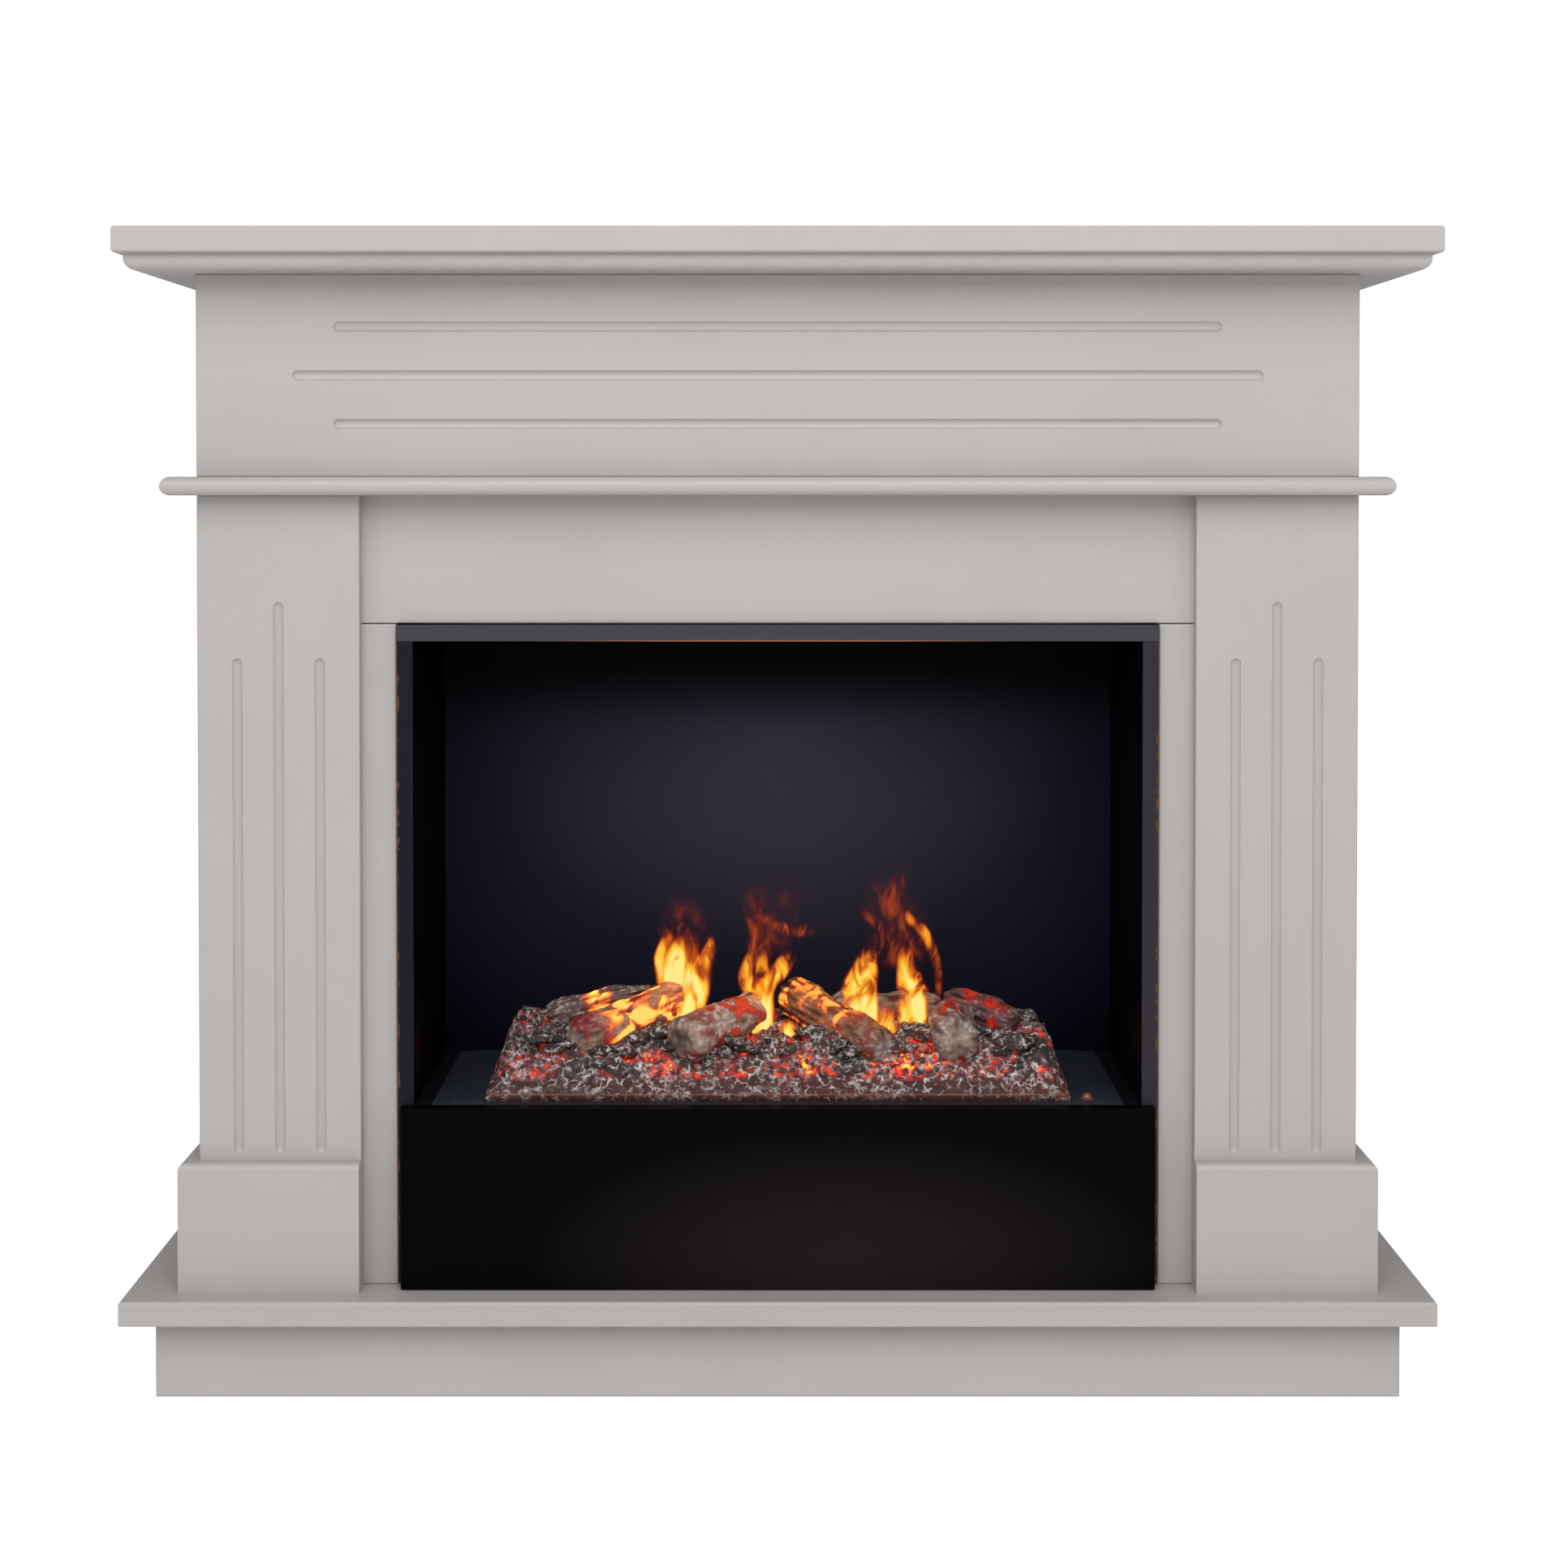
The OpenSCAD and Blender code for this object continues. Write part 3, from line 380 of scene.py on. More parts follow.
# %% Give every carried-over node its finish
finish_of = {
    "raw_board": bare_board, "hardboard": hardboard, "grey_paint": paint, "black_laminate": deck_finish,
    "navy_laminate": navy, "steel_dark": slate_metal, "zinc_steel": zinc, "mist_plastic": mist_plastic,
    "black_plastic": black_plastic, "tank_plastic": tank_plastic, "cap_plastic": cap_plastic,
    "float_foam": float_foam, "amber_lens": amber, "lamp_glass": lamp_glass, "board_green": circuit,
    "rocker_red": rocker_red, "button_white": key_white, "rubber_black": foot_rubber,
    "transducer_metal": stainless,
}
own_finish = {"housing_top": housing_top_finish, "housing_side_left": housing_left_finish,
              "housing_side_right": housing_right_finish, "drawer_front": drawer_finish}
for part in frame["record"]["subparts"]:
    chosen = own_finish.get(part["node"]) or finish_of.get(part["material_slot"])
    if chosen:
        thing = nodes[part["node"]]
        thing.data.materials.clear()
        thing.data.materials.append(chosen)
print("finished", sum(len(n.data.materials) > 0 for n in nodes.values()), "frame nodes")

# %% [markdown]
# ## The ember bed
# The bed is one thin moulding of translucent resin, painted to look like charred wood, ash and
# live embers. A fine grid makes its top. Each point is lifted by how far it is from the rim, which
# gives the bank, and then by several sizes of rough noise. The rim is extruded down and filled, so
# the piece is closed. Two attributes go with it: how high a point stands over its neighbours,
# where ash collects, and how deep it lies, where embers glow.

# %% Helpers for modelled pieces
def keep_mesh(bm, name, finish, stands_for=()):
    """Turns a bmesh into an object at the origin that rides on the log bed."""
    mesh = bpy.data.meshes.new(name)
    bm.to_mesh(mesh)
    bm.free()
    for polygon in mesh.polygons:
        polygon.use_smooth = True
    made = bpy.data.objects.new(name, mesh)
    bpy.context.scene.collection.objects.link(made)
    mesh.materials.append(finish)
    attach(made, "log_bed")
    if stands_for:
        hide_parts(*stands_for)
    print(name, len(mesh.polygons), "faces")


def rough(point, size, octaves=3):
    """Noise from about -1 to 1 whose lumps are about size metres across."""
    return noise.fractal(point / size, 0.6, 2.1, octaves, noise_basis="PERLIN_ORIGINAL")


def ridges(point, size, octaves=3):
    """Sharp-crested noise, 0 in the valleys and near 1 on the crests."""
    return min(1.0, 0.55 * noise.ridged_multi_fractal(point / size, 0.9, 2.1, octaves, 1.0, 2.0,
                                                      noise_basis="PERLIN_ORIGINAL"))


def held(value):
    """A value kept within 0 and 1."""
    return max(0.0, min(1.0, value))


def smooth_step(value, low, high):
    t = held((value - low) / (high - low))
    return t * t * (3 - 2 * t)


# %% Bed shape
FRONT_BANK = 0.062
SIDE_BANK = 0.026
COLUMNS = 230
ROWS = 84
RIM = 0.003
HEADROOM = 0.008
LUMP_HEIGHT = 0.010
CRAG_HEIGHT = 0.012
GRIT_HEIGHT = 0.0026
CORNER_HEIGHT = 0.006


def bed_height(x, y):
    """Height over the tray of the plain bank, before it is roughened."""
    side = (BED_HALF - abs(x)) / SIDE_BANK
    front = (y - BED_FRONT) / FRONT_BANK
    back = (BED_BACK - y) / SIDE_BANK
    rise = 1.0
    for share in (side, front, back):
        rise *= smooth_step(share + 0.30, -0.05, 1.35)
    return RIM + (BED_RISE - HEADROOM - RIM) * max(0.0, (rise - 0.02) / 0.98)


bm = bmesh.new()
bmesh.ops.create_grid(bm, x_segments=COLUMNS, y_segments=ROWS, size=0.5)
crest = bm.verts.layers.float.new("crest")
hollow = bm.verts.layers.float.new("hollow")
for v in bm.verts:
    x = 2 * BED_HALF * v.co.x
    y = BED_FRONT + (BED_BACK - BED_FRONT) * (v.co.y + 0.5)
    plain = bed_height(x, y)
    high = plain / BED_RISE
    seed = Vector((x, y, plain + 3.0))
    loose = smooth_step(high, 0.10, 0.75)
    lump = rough(seed, 0.045) * LUMP_HEIGHT * loose
    crag = (ridges(seed + Vector((7, 0, 0)), 0.022) - 0.5) * CRAG_HEIGHT * (0.40 + 0.60 * loose)
    grit = rough(seed, 0.007, 2) * GRIT_HEIGHT * (0.35 + loose)
    corner = smooth_step(abs(x), BED_HALF * 0.80, BED_HALF * 0.97) * loose * CORNER_HEIGHT
    tall = min(BED_RISE - 0.0005, max(RIM, plain + lump + crag + grit + corner))
    v.co = Vector((x, y, BED_FLOOR + tall))
    v[crest] = held(0.5 + 60 * (crag + grit))
    v[hollow] = held(0.5 - 70 * (lump + crag))
rim_edges = [e for e in bm.edges if e.is_boundary]
skirt = bmesh.ops.extrude_edge_only(bm, edges=rim_edges)["geom"]
for v in (g for g in skirt if isinstance(g, bmesh.types.BMVert)):
    v.co.z = BED_FLOOR
open_edges = [e for e in bm.edges if e.is_boundary]
bmesh.ops.contextual_create(bm, geom=open_edges)
bmesh.ops.recalc_face_normals(bm, faces=bm.faces)

# %% [markdown]
# The bed's finish is built in the order of the paint shop. First a brown-grey char, redder in
# patches near the foot. Then ash, brushed over the crests in thin crooked lines. Then a thin
# gilded line along the hem. Last the embers, which glow red and orange from the hollows in a band
# across the middle, with no ash on them. The ash lines are the borders of two nets of cells, one
# fine and one coarse, bent by noise. They also lift the surface a little.

# %% Bed finish
ASH = rgba(0.62, 0.575, 0.555)
GILT = rgba(0.26, 0.15, 0.06)
BEHIND_GLOW = rgba(0.05, 0.003, 0.002)
WANDER = 0.012


def net(tree, place, scale, low, high):
    """Lines along the borders of a net of cells, 1 on the line."""
    border = put(tree, "ShaderNodeTexVoronoi", {"Vector": place, "Scale": scale},
                 feature="DISTANCE_TO_EDGE").outputs["Distance"]
    return fading(tree, border, low, high)


def crooked_lines(tree, place):
    """A coarse net everywhere, and a fine one in patches, both bent by noise."""
    noisy = put(tree, "ShaderNodeTexNoise", {"Vector": place, "Scale": 90.0, "Detail": 2.0})
    swing = vector_maths(tree, "MULTIPLY", noisy.outputs["Color"], (WANDER, WANDER, WANDER))
    bent = vector_maths(tree, "ADD", place, swing)
    dusted = between(tree, cloud(tree, place, 26.0), 0.42, 0.60)
    fine = times(tree, net(tree, bent, 215.0, 0.02, 0.20), dusted)
    return maths(tree, "MAXIMUM", fine, net(tree, bent, 88.0, 0.01, 0.12))


def ember_finish(name, char, foot, glow_above, glow_power, ash_share=1.0):
    """glow_above: embers glow where a slow noise is above this level.

    ash_share: how much of the ash there is over the foot, which has about half of it.
    """
    made, tree, shader, place = new_finish(name, Roughness=0.75, Emission_Strength=glow_power,
                                           Specular_IOR_Level=0.22)
    level = between(tree, axes(tree, place)["Z"], BED_FLOOR, BED_FLOOR + BED_RISE)
    crest = mark(tree, "crest")
    hollow = mark(tree, "hollow")
    mottle = cloud(tree, place, 70.0, 4.0)
    body = ramp(tree, mottle, (0.30, shaded(char, 0.40)), (0.55, char), (0.75, shaded(char, 1.8)))
    flush = between(tree, cloud(tree, place, 12.0, 2.0), 0.42, 0.62, 0.15, 1.0)
    body = blend_colour(tree, times(tree, fading(tree, level, 0.03, 0.50), flush), body, rgba(*foot))

    lines = crooked_lines(tree, place)
    broken = between(tree, cloud(tree, place, 150.0), 0.42, 0.62)
    raised = between(tree, crest, 0.25, 0.7, 0.25, 1.0)
    by_height = between(tree, level, 0.0, 0.10, 0.55, ash_share)
    ash = times(tree, lines, broken, raised, by_height, clamp=True)
    painted = blend_colour(tree, ash, body, ASH)
    hem = times(tree, between(tree, level, 0.020, 0.026), fading(tree, level, 0.034, 0.040), 0.45)
    painted = blend_colour(tree, hem, painted, GILT)

    band = times(tree, between(tree, level, 0.16, 0.36), fading(tree, level, 0.55, 0.95, 0.35))
    patch = between(tree, cloud(tree, place, 24.0, 2.0, distortion=0.4), glow_above, glow_above + 0.10)
    deep = between(tree, hollow, 0.30, 0.75, 0.15, 1.0)
    clean = fading(tree, lines, 0.0, 0.6, 0.12)
    flicker = between(tree, cloud(tree, place, 130.0, 2.0), 0.36, 0.62, 0.1, 1.2)
    live = times(tree, band, patch, deep, clean, flicker)
    seep = times(tree, fading(tree, level, 0.0, 0.5), 0.02, mottle)
    fire = ramp(tree, maths(tree, "ADD", live, seep),
                (0.0, (0.0, 0.0, 0.0)), (0.15, (0.16, 0.004, 0.003)), (0.40, (0.55, 0.014, 0.005)),
                (0.68, (0.85, 0.09, 0.008)), (1.0, (1.0, 0.42, 0.05)))
    tree.links.new(fire, shader.inputs["Emission Color"])
    painted = blend_colour(tree, between(tree, live, 0.10, 0.45), painted, BEHIND_GLOW)
    tree.links.new(painted, shader.inputs["Base Color"])
    lift = maths(tree, "ADD", times(tree, ash, 0.7), times(tree, mottle, 0.5))
    bump(tree, shader, lift, 0.85, 0.0022)
    return made


bed_finish = ember_finish("ash_and_ember_resin", (0.046, 0.032, 0.029), (0.064, 0.024, 0.023),
                          glow_above=0.445, glow_power=1.9)
keep_mesh(bm, "ember_bed_moulding", bed_finish, stands_for=["ember_bed"])

# %% [markdown]
# ## The logs
# Each log is a resin casting with bark, a sawn or broken end, and paint that lets the light
# through in places. A tapered drum is cut into rings along its length, roughened with bark ridges
# that run lengthwise, and then turned to lie between its two ends. The ends are worn round and a
# little domed, and broken tips are drawn out by noise. Three attributes go to the finish: how far
# along a point lies, how far into a cut end it is, and how high it stands on the bark.

# %% Log maker
SIDES = 64
RING_STEP = 0.0026
WORN_LENGTH = 0.009
WORN_SHARE = 0.22
DOME_SHARE = 0.16
KNOT_HEIGHT = 0.0035
TIP_REACH = 0.022
CROOK = 0.006
END_RINGS = (0.10, 0.14, 0.18, 0.24, 0.3, 0.36)


def make_log(name, stands_for, start, end, radius_a, radius_b, seed, finish, broken=0.0,
             bark=0.0028, squash=1.0):
    """start and end: share of the bed's half width, then millimetres from its front foot."""
    a = Vector((start[0] * BED_HALF, BED_FRONT + start[1] * MM, BED_FLOOR + start[2] * MM))
    b = Vector((end[0] * BED_HALF, BED_FRONT + end[1] * MM, BED_FLOOR + end[2] * MM))
    length = (b - a).length
    bm = bmesh.new()
    bmesh.ops.create_cone(bm, cap_ends=True, segments=SIDES, radius1=radius_a * MM,
                          radius2=radius_b * MM, depth=length)
    steps = int(length / RING_STEP)
    for i in range(1, steps):
        cut = bm.verts[:] + bm.edges[:] + bm.faces[:]
        height = length * (i / steps - 0.5)
        bmesh.ops.bisect_plane(bm, geom=cut, plane_co=(0, 0, height), plane_no=(0, 0, 1))
    caps = [f for f in bm.faces if len(f.verts) > 8]
    for share in END_RINGS:
        bmesh.ops.inset_region(bm, faces=caps, thickness=share * radius_b * MM * 0.55)
    along = bm.verts.layers.float.new("along")
    cut_end = bm.verts.layers.float.new("cut_end")
    crest = bm.verts.layers.float.new("crest")
    bm.verts.ensure_lookup_table()
    shift = Vector((seed * 3.1, seed * 1.7, seed * 0.9))
    for v in bm.verts:
        share = v.co.z / length + 0.5
        out = Vector((v.co.x, v.co.y, 0))
        full = (radius_a + (radius_b - radius_a) * share) * MM
        on_cap = min(share, 1 - share) < 0.001
        rim = out.length / full
        angle = math.atan2(out.y, out.x)
        ring = Vector((math.cos(angle), math.sin(angle), 0))
        grain = Vector((ring.x * 1.1, ring.y * 1.1, v.co.z * 14)) + shift
        furrow = ridges(grain * 0.05, 0.022, 3) - 0.45
        knot = rough(ring * 0.02 + Vector((0, 0, v.co.z)) + shift, 0.030, 2)
        v[along] = share
        v[cut_end] = smooth_step(1 - rim, 0.06, 0.42) if on_cap else 0.0
        v[crest] = held(0.5 + furrow)
        swell = (furrow * bark + knot * KNOT_HEIGHT) * min(1.0, rim)
        v.co += ring * swell * (0.3 if on_cap and rim < 0.93 else 1.0)
        worn = 1 - min(1.0, min(share, 1 - share) * length / WORN_LENGTH)
        v.co.x *= 1 - WORN_SHARE * worn * worn
        v.co.y *= 1 - WORN_SHARE * worn * worn
        if on_cap:
            side = -1 if share < 0.5 else 1
            dome = DOME_SHARE * full * (1 - min(1.0, rim) ** 2)
            v.co.z += side * (dome + math.cos(rim * 22) * 0.0003 + rough(out + shift, 0.014, 2) * 0.0034)
        tip = smooth_step(share, 0.70, 1.0) * broken
        v.co.z += tip * rough(ring * 0.03 + shift, 0.02, 3) * TIP_REACH
        v.co.x *= 1 - 0.45 * tip
        v.co.y *= squash * (1 - 0.55 * tip)
        v.co.x += CROOK * math.sin(3.0 * share + seed)
    turn = (b - a).normalized().to_track_quat("Z", "Y").to_matrix().to_4x4()
    bmesh.ops.transform(bm, matrix=Matrix.Translation((a + b) / 2) @ turn, verts=bm.verts)
    bmesh.ops.recalc_face_normals(bm, faces=bm.faces)
    keep_mesh(bm, name, finish, stands_for=stands_for)


# %% [markdown]
# One recipe paints every log, with different amounts: bark and its dark furrows, grey ash on the
# crests, a pale mottled cut end, and the glow that comes through thin places. The glow runs in
# patches along the log, between a start and an end share of its length.

# %% Log finish
LOG_ASH = rgba(0.50, 0.455, 0.425)
CRIMSON = rgba(0.16, 0.008, 0.012)
BEHIND_STREAK = rgba(0.05, 0.004, 0.002)


def log_finish(name, bark, sawn, ash, glow, power, hot=True, red_bark=0.0):
    """glow: where along the log it starts and ends, and how much of the bark it takes."""
    made, tree, shader, place = new_finish(name, Roughness=0.62, Emission_Strength=power,
                                           Specular_IOR_Level=0.4)
    glow_from, glow_to, glow_amount = glow
    along = mark(tree, "along")
    cut_end = mark(tree, "cut_end")
    crest = mark(tree, "crest")
    mottle = cloud(tree, place, 80.0, 4.0)
    patch = cloud(tree, place, 38.0, 3.0, distortion=0.8)
    body = ramp(tree, times(tree, crest, maths(tree, "ADD", mottle, 0.5)),
                (0.18, shaded(bark, 0.12)), (0.42, shaded(bark, 0.7)), (0.75, shaded(bark, 1.5)))
    stained = times(tree, between(tree, patch, 0.46, 0.58), red_bark)
    body = blend_colour(tree, stained, body, CRIMSON)
    specks = between(tree, cloud(tree, place, 150.0, 3.0), 0.48, 0.62)
    dust = times(tree, specks, between(tree, crest, 0.4, 0.8))
    body = blend_colour(tree, times(tree, dust, ash, clamp=True), body, LOG_ASH)
    wood = ramp(tree, cloud(tree, place, 75.0, 4.0), (0.32, shaded(sawn, 0.22)), (0.66, sawn))
    body = blend_colour(tree, cut_end, body, wood)

    start = between(tree, along, glow_from - 0.10, glow_from + 0.10)
    stop = fading(tree, along, glow_to - 0.12, glow_to + 0.12)
    streak = between(tree, patch, 0.62 - 0.3 * glow_amount, 0.78 - 0.3 * glow_amount)
    raised = between(tree, crest, 0.2, 0.7, 0.35, 1.15)
    lit = times(tree, start, stop, streak, raised, fading(tree, cut_end, 0.0, 1.0))
    body = blend_colour(tree, between(tree, lit, 0.1, 0.6), body, BEHIND_STREAK)
    tree.links.new(body, shader.inputs["Base Color"])
    brightest = (1.0, 0.55, 0.10) if hot else (0.60, 0.030, 0.010)
    bright = (1.0, 0.22, 0.02) if hot else (0.30, 0.008, 0.006)
    fire = ramp(tree, lit, (0.0, (0.012, 0.001, 0.001)), (0.3, (0.20, 0.010, 0.006)),
                (0.62, bright), (1.0, brightest))
    tree.links.new(fire, shader.inputs["Emission Color"])
    lift = maths(tree, "ADD", times(tree, mottle, 0.6), times(tree, dust, 0.5))
    bump(tree, shader, lift, 0.8, 0.0016)
    return made


charred = log_finish("charred_log_resin", (0.060, 0.047, 0.042), (0.24, 0.17, 0.13),
                     ash=0.60, glow=(0.42, 0.66, 0.55), power=1.7)
glowing = log_finish("glowing_log_resin", (0.15, 0.080, 0.050), (0.34, 0.255, 0.205),
                     ash=0.32, glow=(0.22, 1.10, 0.62), power=1.25, red_bark=0.9)
beige = log_finish("ash_beige_log_resin", (0.18, 0.125, 0.095), (0.13, 0.098, 0.080),
                   ash=0.55, glow=(0.30, 0.95, 0.30), power=0.9, hot=False, red_bark=0.7)
amber_log = log_finish("amber_log_resin", (0.125, 0.056, 0.024), (0.34, 0.30, 0.275),
                       ash=0.26, glow=(0.02, 0.72, 0.62), power=0.9, red_bark=0.6)
round_log = log_finish("pale_log_resin", (0.13, 0.097, 0.080), (0.36, 0.265, 0.215),
                       ash=0.55, glow=(0.3, 0.9, 0.2), power=0.8, hot=False, red_bark=0.5)
red_log = log_finish("dark_red_log_resin", (0.085, 0.040, 0.042), (0.10, 0.06, 0.055),
                     ash=0.35, glow=(0.05, 0.85, 0.45), power=0.75, hot=False, red_bark=0.9)

# %% Logs
make_log("charred_log", ["log_back_left"], (-0.81, 128, 58), (-0.47, 126, 88), 17, 13, 1.0, charred,
         broken=0.9, squash=0.9)
make_log("left_glowing_log", ["log_front_left"], (-0.68, 30, 54), (-0.36, 112, 84), 20, 18, 2.0,
         glowing, broken=0.2)
make_log("centre_left_log", ["log_stub"], (-0.33, 26, 54), (-0.08, 108, 74), 25, 18, 3.0, beige,
         broken=0.1)
make_log("cross_log", ["log_cross"], (0.06, 138, 82), (0.35, 26, 46), 21, 19, 4.0, amber_log,
         bark=0.0022)
make_log("rear_log", ["log_rear"], (0.20, 168, 62), (0.58, 168, 62), 15, 15, 5.0, beige, broken=0.3)
make_log("round_end_log", ["log_round"], (0.61, 22, 55), (0.64, 104, 66), 24, 20, 6.0, round_log)
make_log("back_right_log", ["log_back_right"], (0.60, 134, 72), (0.84, 96, 58), 21, 19, 7.0, red_log,
         squash=0.85)

# %% [markdown]
# ## Loose charred lumps
# Broken flakes of charcoal lie in a loose row along the front bank, between the log ends. Each is
# a small ball pressed flat, with its points pushed in and out by noise until it is jagged. They
# are all one piece, and share the bed's finish with less glow.

# %% Charred lumps
LUMPS = 30
ROW_FROM = -0.83
ROW_LENGTH = 1.64
FLAT = Matrix.Diagonal((1.7, 1.2, 0.55, 1.0))

dice = random.Random(11)
lump_finish = ember_finish("charcoal_chip_resin", (0.042, 0.029, 0.026), (0.06, 0.04, 0.04),
                           glow_above=0.56, glow_power=1.3, ash_share=0.8)
bm = bmesh.new()
crest = bm.verts.layers.float.new("crest")
hollow = bm.verts.layers.float.new("hollow")
for i in range(LUMPS):
    x = (ROW_FROM + ROW_LENGTH * (i + 0.5 * dice.random()) / (LUMPS - 1)) * BED_HALF
    y = BED_FRONT + (0.034 + 0.030 * dice.random())
    size = 0.0065 + 0.0070 * dice.random()
    made = bmesh.ops.create_icosphere(bm, subdivisions=3, radius=size)["verts"]
    turn = Matrix.Rotation(dice.random() * 6.3, 4, "Z") @ Matrix.Rotation(dice.random() - 0.5, 4, "X")
    z = BED_FLOOR + bed_height(x, y) + 0.30 * size
    for v in made:
        push = 1 + 0.50 * rough(v.co + Vector((i * 1.3, 0, 0)), 0.014, 2)
        v.co = v.co * push
        v[crest] = held(0.2 + 0.6 * push)
        v[hollow] = 0.4
    bmesh.ops.transform(bm, matrix=Matrix.Translation((x, y, z)) @ turn @ FLAT, verts=made)
bmesh.ops.recalc_face_normals(bm, faces=bm.faces)
keep_mesh(bm, "charcoal_lumps", lump_finish)

# %% [markdown]
# ## The flames
# The real flames are lit mist, so they have no hard edge. Each tongue here is a thin bowed sheet
# that follows a path of a few points, with a width and a heat at each. The finish makes it
# visible: it fades out towards both edges and the tip, it is torn into wisps by noise, and its
# colour runs from pale yellow through orange to dark red as it thins. Tongues lie at different
# depths, so the fire keeps its body from the side.

# %% Flame finish
def flame_finish(name, scale, power):
    made, tree, shader, place = new_finish(name, Base_Color=rgba(0.0, 0.0, 0.0), Roughness=1.0,
                                           Emission_Strength=power, Specular_IOR_Level=0.0)
    sheet = axes(tree, put(tree, "ShaderNodeUVMap", uv_map="sheet").outputs["UV"])
    across, up = sheet["X"], sheet["Y"]
    drawn = put(tree, "ShaderNodeMapping", {"Vector": place, "Scale": (1.0, 0.6, 0.42)}).outputs[0]
    wisp = cloud(tree, drawn, scale, distortion=1.6)
    curl = cloud(tree, drawn, scale * 0.45, 2.0, distortion=0.8)
    centred = maths(tree, "MULTIPLY_ADD", across, 2.0, -1.0)
    sway = times(tree, maths(tree, "SUBTRACT", curl, 0.5), between(tree, up, 0.0, 1.0, 0.8, 2.6))
    swung = maths(tree, "ABSOLUTE", maths(tree, "ADD", centred, sway))
    core = maths(tree, "SUBTRACT", 1.0, maths(tree, "POWER", swung, 2.0), clamp=True)
    rim = maths(tree, "SUBTRACT", 1.0, maths(tree, "ABSOLUTE", centred), clamp=True)
    body = times(tree, core, between(tree, rim, 0.0, 0.45))
    ends = times(tree, between(tree, up, 0.0, 0.14), fading(tree, up, 0.66, 1.0))
    torn = between(tree, wisp, 0.33, 0.67, 0.42, 1.22)
    dense = times(tree, body, ends, mark(tree, "warmth"), torn, clamp=True)
    fire = ramp(tree, dense, (0.0, (0.16, 0.010, 0.003)), (0.16, (0.30, 0.022, 0.004)),
                (0.34, (0.85, 0.13, 0.010)), (0.55, (1.0, 0.34, 0.020)),
                (0.78, (1.0, 0.58, 0.050)), (1.0, (1.0, 0.80, 0.24)))
    tree.links.new(fire, shader.inputs["Emission Color"])
    tree.links.new(between(tree, dense, 0.0, 0.75, 0.0, 0.93), shader.inputs["Alpha"])
    return made


# %% Flame sheets
SHEET_ROWS = 44
SHEET_COLUMNS = 12


def along_path(points, place):
    """The smooth curve through the points: its four values at a place, and their slopes."""
    i = min(int(place), len(points) - 2)
    t = place - i
    before = points[max(i - 1, 0)]
    after = points[min(i + 2, len(points) - 1)]
    here, slope = [], []
    for p0, p1, p2, p3 in zip(before, points[i], points[i + 1], after):
        a = p2 - p0
        b = 2 * p0 - 5 * p1 + 4 * p2 - p3
        c = 3 * p1 - p0 - 3 * p2 + p3
        here.append(0.5 * (2 * p1 + a * t + b * t * t + c * t ** 3))
        slope.append(0.5 * (a + 2 * b * t + 3 * c * t * t))
    return here, slope


def flame(name, tongues, finish):
    """Each tongue: depth and bow in mm, then its points.

    A point is x, height over the bed's floor and half width, all in mm, and then a heat.
    """
    bm = bmesh.new()
    heat = bm.verts.layers.float.new("warmth")
    uv = bm.loops.layers.uv.new("sheet")
    for depth, bow, points in tongues:
        made = bmesh.ops.create_grid(bm, x_segments=SHEET_COLUMNS, y_segments=SHEET_ROWS,
                                     size=0.5)["verts"]
        faces = {f for v in made for f in v.link_faces}
        for f in faces:
            for loop in f.loops:
                loop[uv].uv = (loop.vert.co.x + 0.5, loop.vert.co.y + 0.5)
        for v in made:
            across, up = 2 * v.co.x, v.co.y + 0.5
            (x, z, half, warm), slope = along_path(points, up * (len(points) - 1))
            size = math.hypot(slope[0], slope[1]) or 1.0
            sideways = Vector((slope[1] / size, 0, -slope[0] / size))
            v[heat] = max(0.0, warm)
            y = depth + bow * across * across + 4 * math.sin(up * 4 + depth)
            middle = Vector((x * MM, y * MM, BED_FLOOR + z * MM))
            v.co = middle + sideways * across * max(half, 0.5) * MM
    bmesh.ops.recalc_face_normals(bm, faces=bm.faces)
    keep_mesh(bm, name, finish)


flame_look = flame_finish("lit_mist", scale=54.0, power=1.1)
flame("left_flame", [
    (-6, 8, [(-94, 48.5, 15, 0.9), (-95, 70.5, 22, 1.2), (-97, 96.5, 27, 1.2),
             (-95, 122.5, 26, 0.95), (-92, 144.5, 18, 0.6), (-90, 166.5, 9, 0.15)]),
    (12, -9, [(-106, 72.5, 12, 0.6), (-112, 98.5, 15, 0.85), (-116, 122.5, 13, 0.7),
             (-110, 144.5, 10, 0.45), (-104, 162.5, 6, 0.1)]),
    (4, 5, [(-84, 64.5, 11, 0.8), (-77, 96.5, 14, 0.9), (-72, 122.5, 13, 0.7),
             (-66, 140.5, 9, 0.55), (-72, 154.5, 7, 0.2)]),
    (-14, 4, [(-98, 42.5, 13, 0.9), (-92, 62.5, 13, 1.25), (-90, 82.5, 12, 1.1),
             (-94, 108.5, 9, 0.5)]),
    (24, -6, [(-96, 112.5, 32, 0.3), (-97, 144.5, 36, 0.26), (-94, 170.5, 30, 0.17),
             (-90, 200.5, 20, 0.06)]),
], flame_look)
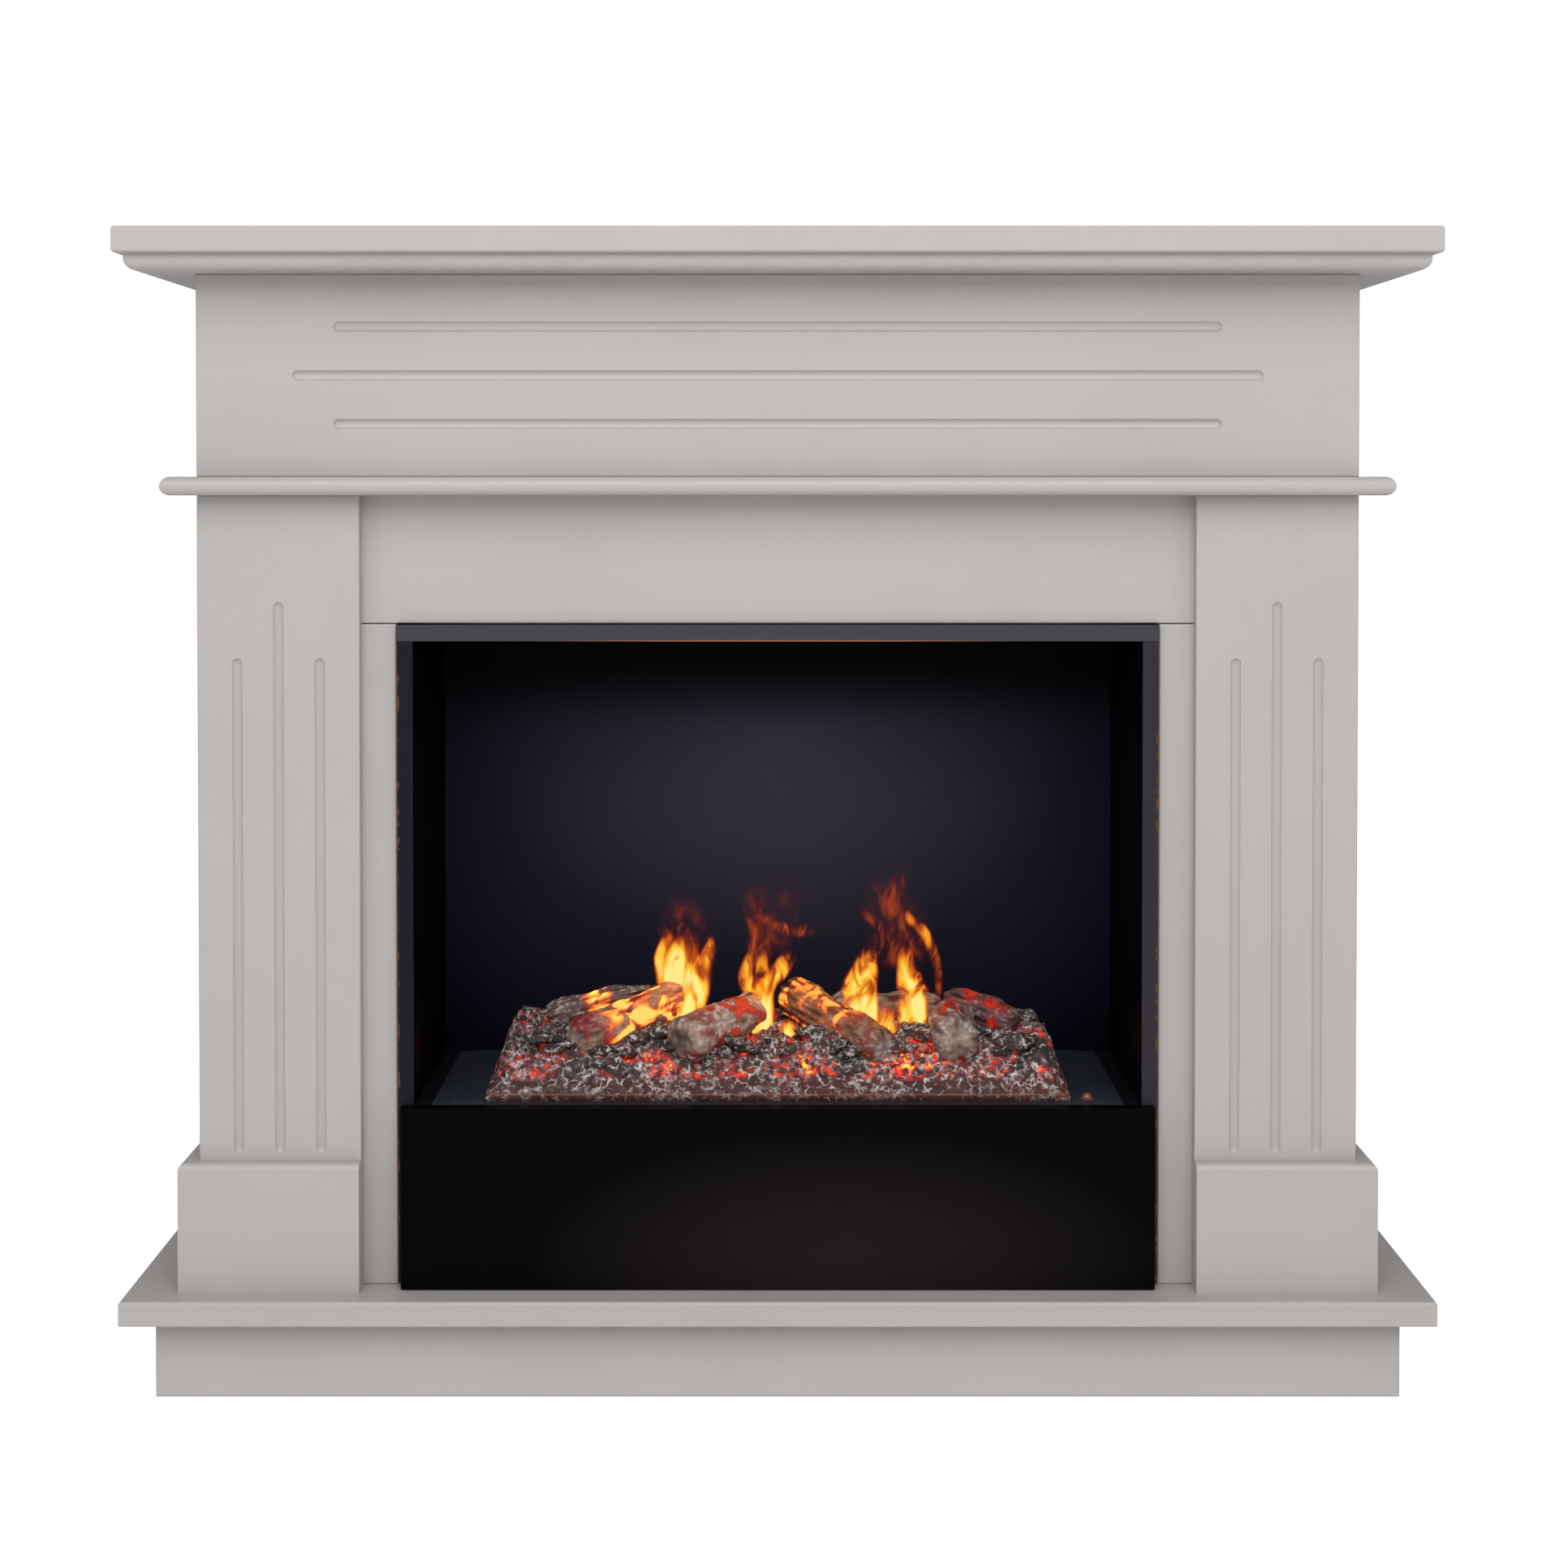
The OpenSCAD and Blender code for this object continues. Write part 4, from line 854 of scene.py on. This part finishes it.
flame("centre_flame", [
    (-10, 7, [(-20, 32.5, 18, 0.9), (-18, 52.5, 20, 1.2), (-16, 74.5, 18, 1.2),
             (-14, 96.5, 17, 0.95), (2, 114.5, 14, 0.85), (13, 128.5, 10, 0.6),
             (20, 144.5, 5, 0.1)]),
    (10, -6, [(-12, 60.5, 15, 0.8), (-22, 84.5, 16, 0.85), (-33, 104.5, 12, 0.7),
             (-29, 122.5, 9, 0.5), (-20, 138.5, 6, 0.15)]),
    (0, 3, [(-29, 190.5, 6, 0.18), (-20, 167.5, 9, 0.28), (0, 156.5, 10, 0.32),
             (22, 151.5, 10, 0.31), (38, 158.5, 9, 0.24), (38, 184.5, 7, 0.08)]),
    (8, -5, [(-12, 76.5, 15, 0.6), (-17, 104.5, 17, 0.52), (-19, 130.5, 17, 0.4),
             (-17, 156.5, 14, 0.28), (-16, 182.5, 9, 0.1)]),
    (6, 4, [(-10, 128.5, 15, 0.2), (-20, 156.5, 16, 0.24), (-26, 182.5, 14, 0.2),
             (-22, 212.5, 10, 0.08)]),
    (20, 5, [(-14, 120.5, 28, 0.18), (-6, 156.5, 34, 0.2), (2, 190.5, 30, 0.16),
             (10, 226.5, 20, 0.05)]),
    (-30, 6, [(22, 26.5, 13, 0.9), (17, 42.5, 14, 1.1), (9, 60.5, 11, 0.85), (4, 74.5, 6, 0.25)]),
], flame_look)
flame("right_flame", [
    (-4, 8, [(92, 46.5, 17, 0.9), (86, 66.5, 23, 1.2), (82, 90.5, 24, 1.15),
             (88, 114.5, 18, 0.85), (92, 132.5, 12, 0.55), (94, 150.5, 6, 0.1)]),
    (6, -8, [(138, 38.5, 17, 0.9), (139, 60.5, 23, 1.2), (138, 86.5, 22, 1.05),
             (131, 112.5, 15, 0.75), (130, 134.5, 10, 0.5), (134, 156.5, 5, 0.1)]),
    (18, 4, [(162, 66.5, 5, 0.22), (164, 98.5, 6, 0.34), (159, 124.5, 8, 0.46),
             (146, 150.5, 9, 0.52), (126, 168.5, 8, 0.4), (116, 194.5, 6, 0.15)]),
    (12, -4, [(112, 140.5, 7, 0.16), (104, 154.5, 9, 0.26), (90, 168.5, 9, 0.26),
             (74, 182.5, 8, 0.12)]),
    (14, 5, [(116, 160.5, 10, 0.2), (114, 182.5, 12, 0.26), (124, 202.5, 13, 0.22),
             (140, 222.5, 10, 0.08)]),
    (30, -5, [(118, 104.5, 38, 0.22), (122, 144.5, 44, 0.25), (118, 182.5, 38, 0.2),
             (132, 222.5, 22, 0.07)]),
    (-22, 4, [(112, 40.5, 16, 0.7), (112, 56.5, 18, 0.8), (110, 72.5, 14, 0.5),
             (110, 86.5, 8, 0.15)]),
], flame_look)

# %% [markdown]
# ## Light inside the firebox
# The lamps sit under the bed, and their warm light reaches the logs from behind and the underside
# of the top board. A few small warm lights near the flames give that. They are weak beside the
# studio lights, because the bed's own glow is in its finish.

# %% Fire light
FIRE_DEPTH = -0.02
FIRE_RISE = 0.115


def warm_light(name, x):
    lamp = bpy.data.lights.new(name, "POINT")
    lamp.energy = 0.10
    lamp.color = (1.0, 0.42, 0.12)
    lamp.shadow_soft_size = 0.03
    lit = bpy.data.objects.new(name, lamp)
    lit.location = (x, FIRE_DEPTH, BED_FLOOR + FIRE_RISE)
    bpy.context.scene.collection.objects.link(lit)


warm_light("fire_left", -0.095)
warm_light("fire_centre", -0.012)
warm_light("fire_right", 0.11)

# %% [markdown]
# ## Studio
# A pale floor lies under the fireplace. The main light is one tall, large panel high in front, so
# the shadows under the mantel and the mouldings fade evenly. A weak panel on each side and an even
# sky fill them. The floor and the sky are bright where the camera looks straight at them, and
# dimmer as lights.
# The camera stands about three metres off, a little under a metre above the floor. It looks
# nearly level and uses a vertical shift, as an architectural lens does, so the columns stay upright.

# %% Floor
FLOOR_RADIUS = 40
FLOOR_LIGHT = 0.14
FLOOR_SHOWN = 0.80
WHITE = rgba(1.0, 1.0, 1.0)

bm = bmesh.new()
bmesh.ops.create_circle(bm, cap_ends=True, segments=48, radius=FLOOR_RADIUS)
floor_mesh = bpy.data.meshes.new("studio_floor")
bm.to_mesh(floor_mesh)
bm.free()
floor = bpy.data.objects.new("studio_floor", floor_mesh)
bpy.context.scene.collection.objects.link(floor)
floor_paint = even_finish("pale_floor", (0.90, 0.90, 0.90), spread=0.004, rough=0.9,
                          Emission_Color=WHITE)
tree = floor_paint.node_tree
seen = put(tree, "ShaderNodeLightPath").outputs["Is Camera Ray"]
glow = between(tree, seen, 0.0, 1.0, FLOOR_LIGHT, FLOOR_SHOWN)
tree.links.new(glow, tree.nodes["Principled BSDF"].inputs["Emission Strength"])
floor_mesh.materials.append(floor_paint)

# %% Light
SKY_LIGHT = 0.25
SKY_SHOWN = 1.05


def panel(name, place, aim, size, power):
    lamp = bpy.data.lights.new(name, "AREA")
    lamp.energy = power
    lamp.size = size
    lit = bpy.data.objects.new(name, lamp)
    lit.location = place
    lit.rotation_euler = (Vector(aim) - Vector(place)).to_track_quat("-Z", "Y").to_euler()
    bpy.context.scene.collection.objects.link(lit)


panel("front_panel", (0.0, -3.8, 3.5), (0, 0, 0.15), size=3.9, power=200)
panel("left_panel", (-3.2, -2.2, 1.5), (0, 0, 0.4), size=1.6, power=19)
panel("right_panel", (3.2, -2.2, 1.5), (0, 0, 0.4), size=1.6, power=19)
sky = bpy.data.worlds.new("studio_sky")
sky.use_nodes = True
tree = sky.node_tree
background = tree.nodes["Background"].inputs
background["Color"].default_value = WHITE
seen = put(tree, "ShaderNodeLightPath").outputs["Is Camera Ray"]
tree.links.new(between(tree, seen, 0.0, 1.0, SKY_LIGHT, SKY_SHOWN), background["Strength"])
bpy.context.scene.world = sky
bpy.context.scene.view_settings.view_transform = "Standard"

# %% Camera
TILT_DOWN = 1.367

eye = bpy.data.cameras.new("shop_camera")
eye.lens = 67.3
eye.sensor_width = 36.0
eye.shift_x = 0.004
eye.shift_y = -0.15
camera = bpy.data.objects.new("shop_camera", eye)
camera.location = (0.0, -2.961, 0.890)
camera.rotation_euler = (math.radians(90 - TILT_DOWN), 0, 0)
bpy.context.scene.collection.objects.link(camera)
bpy.context.scene.camera = camera
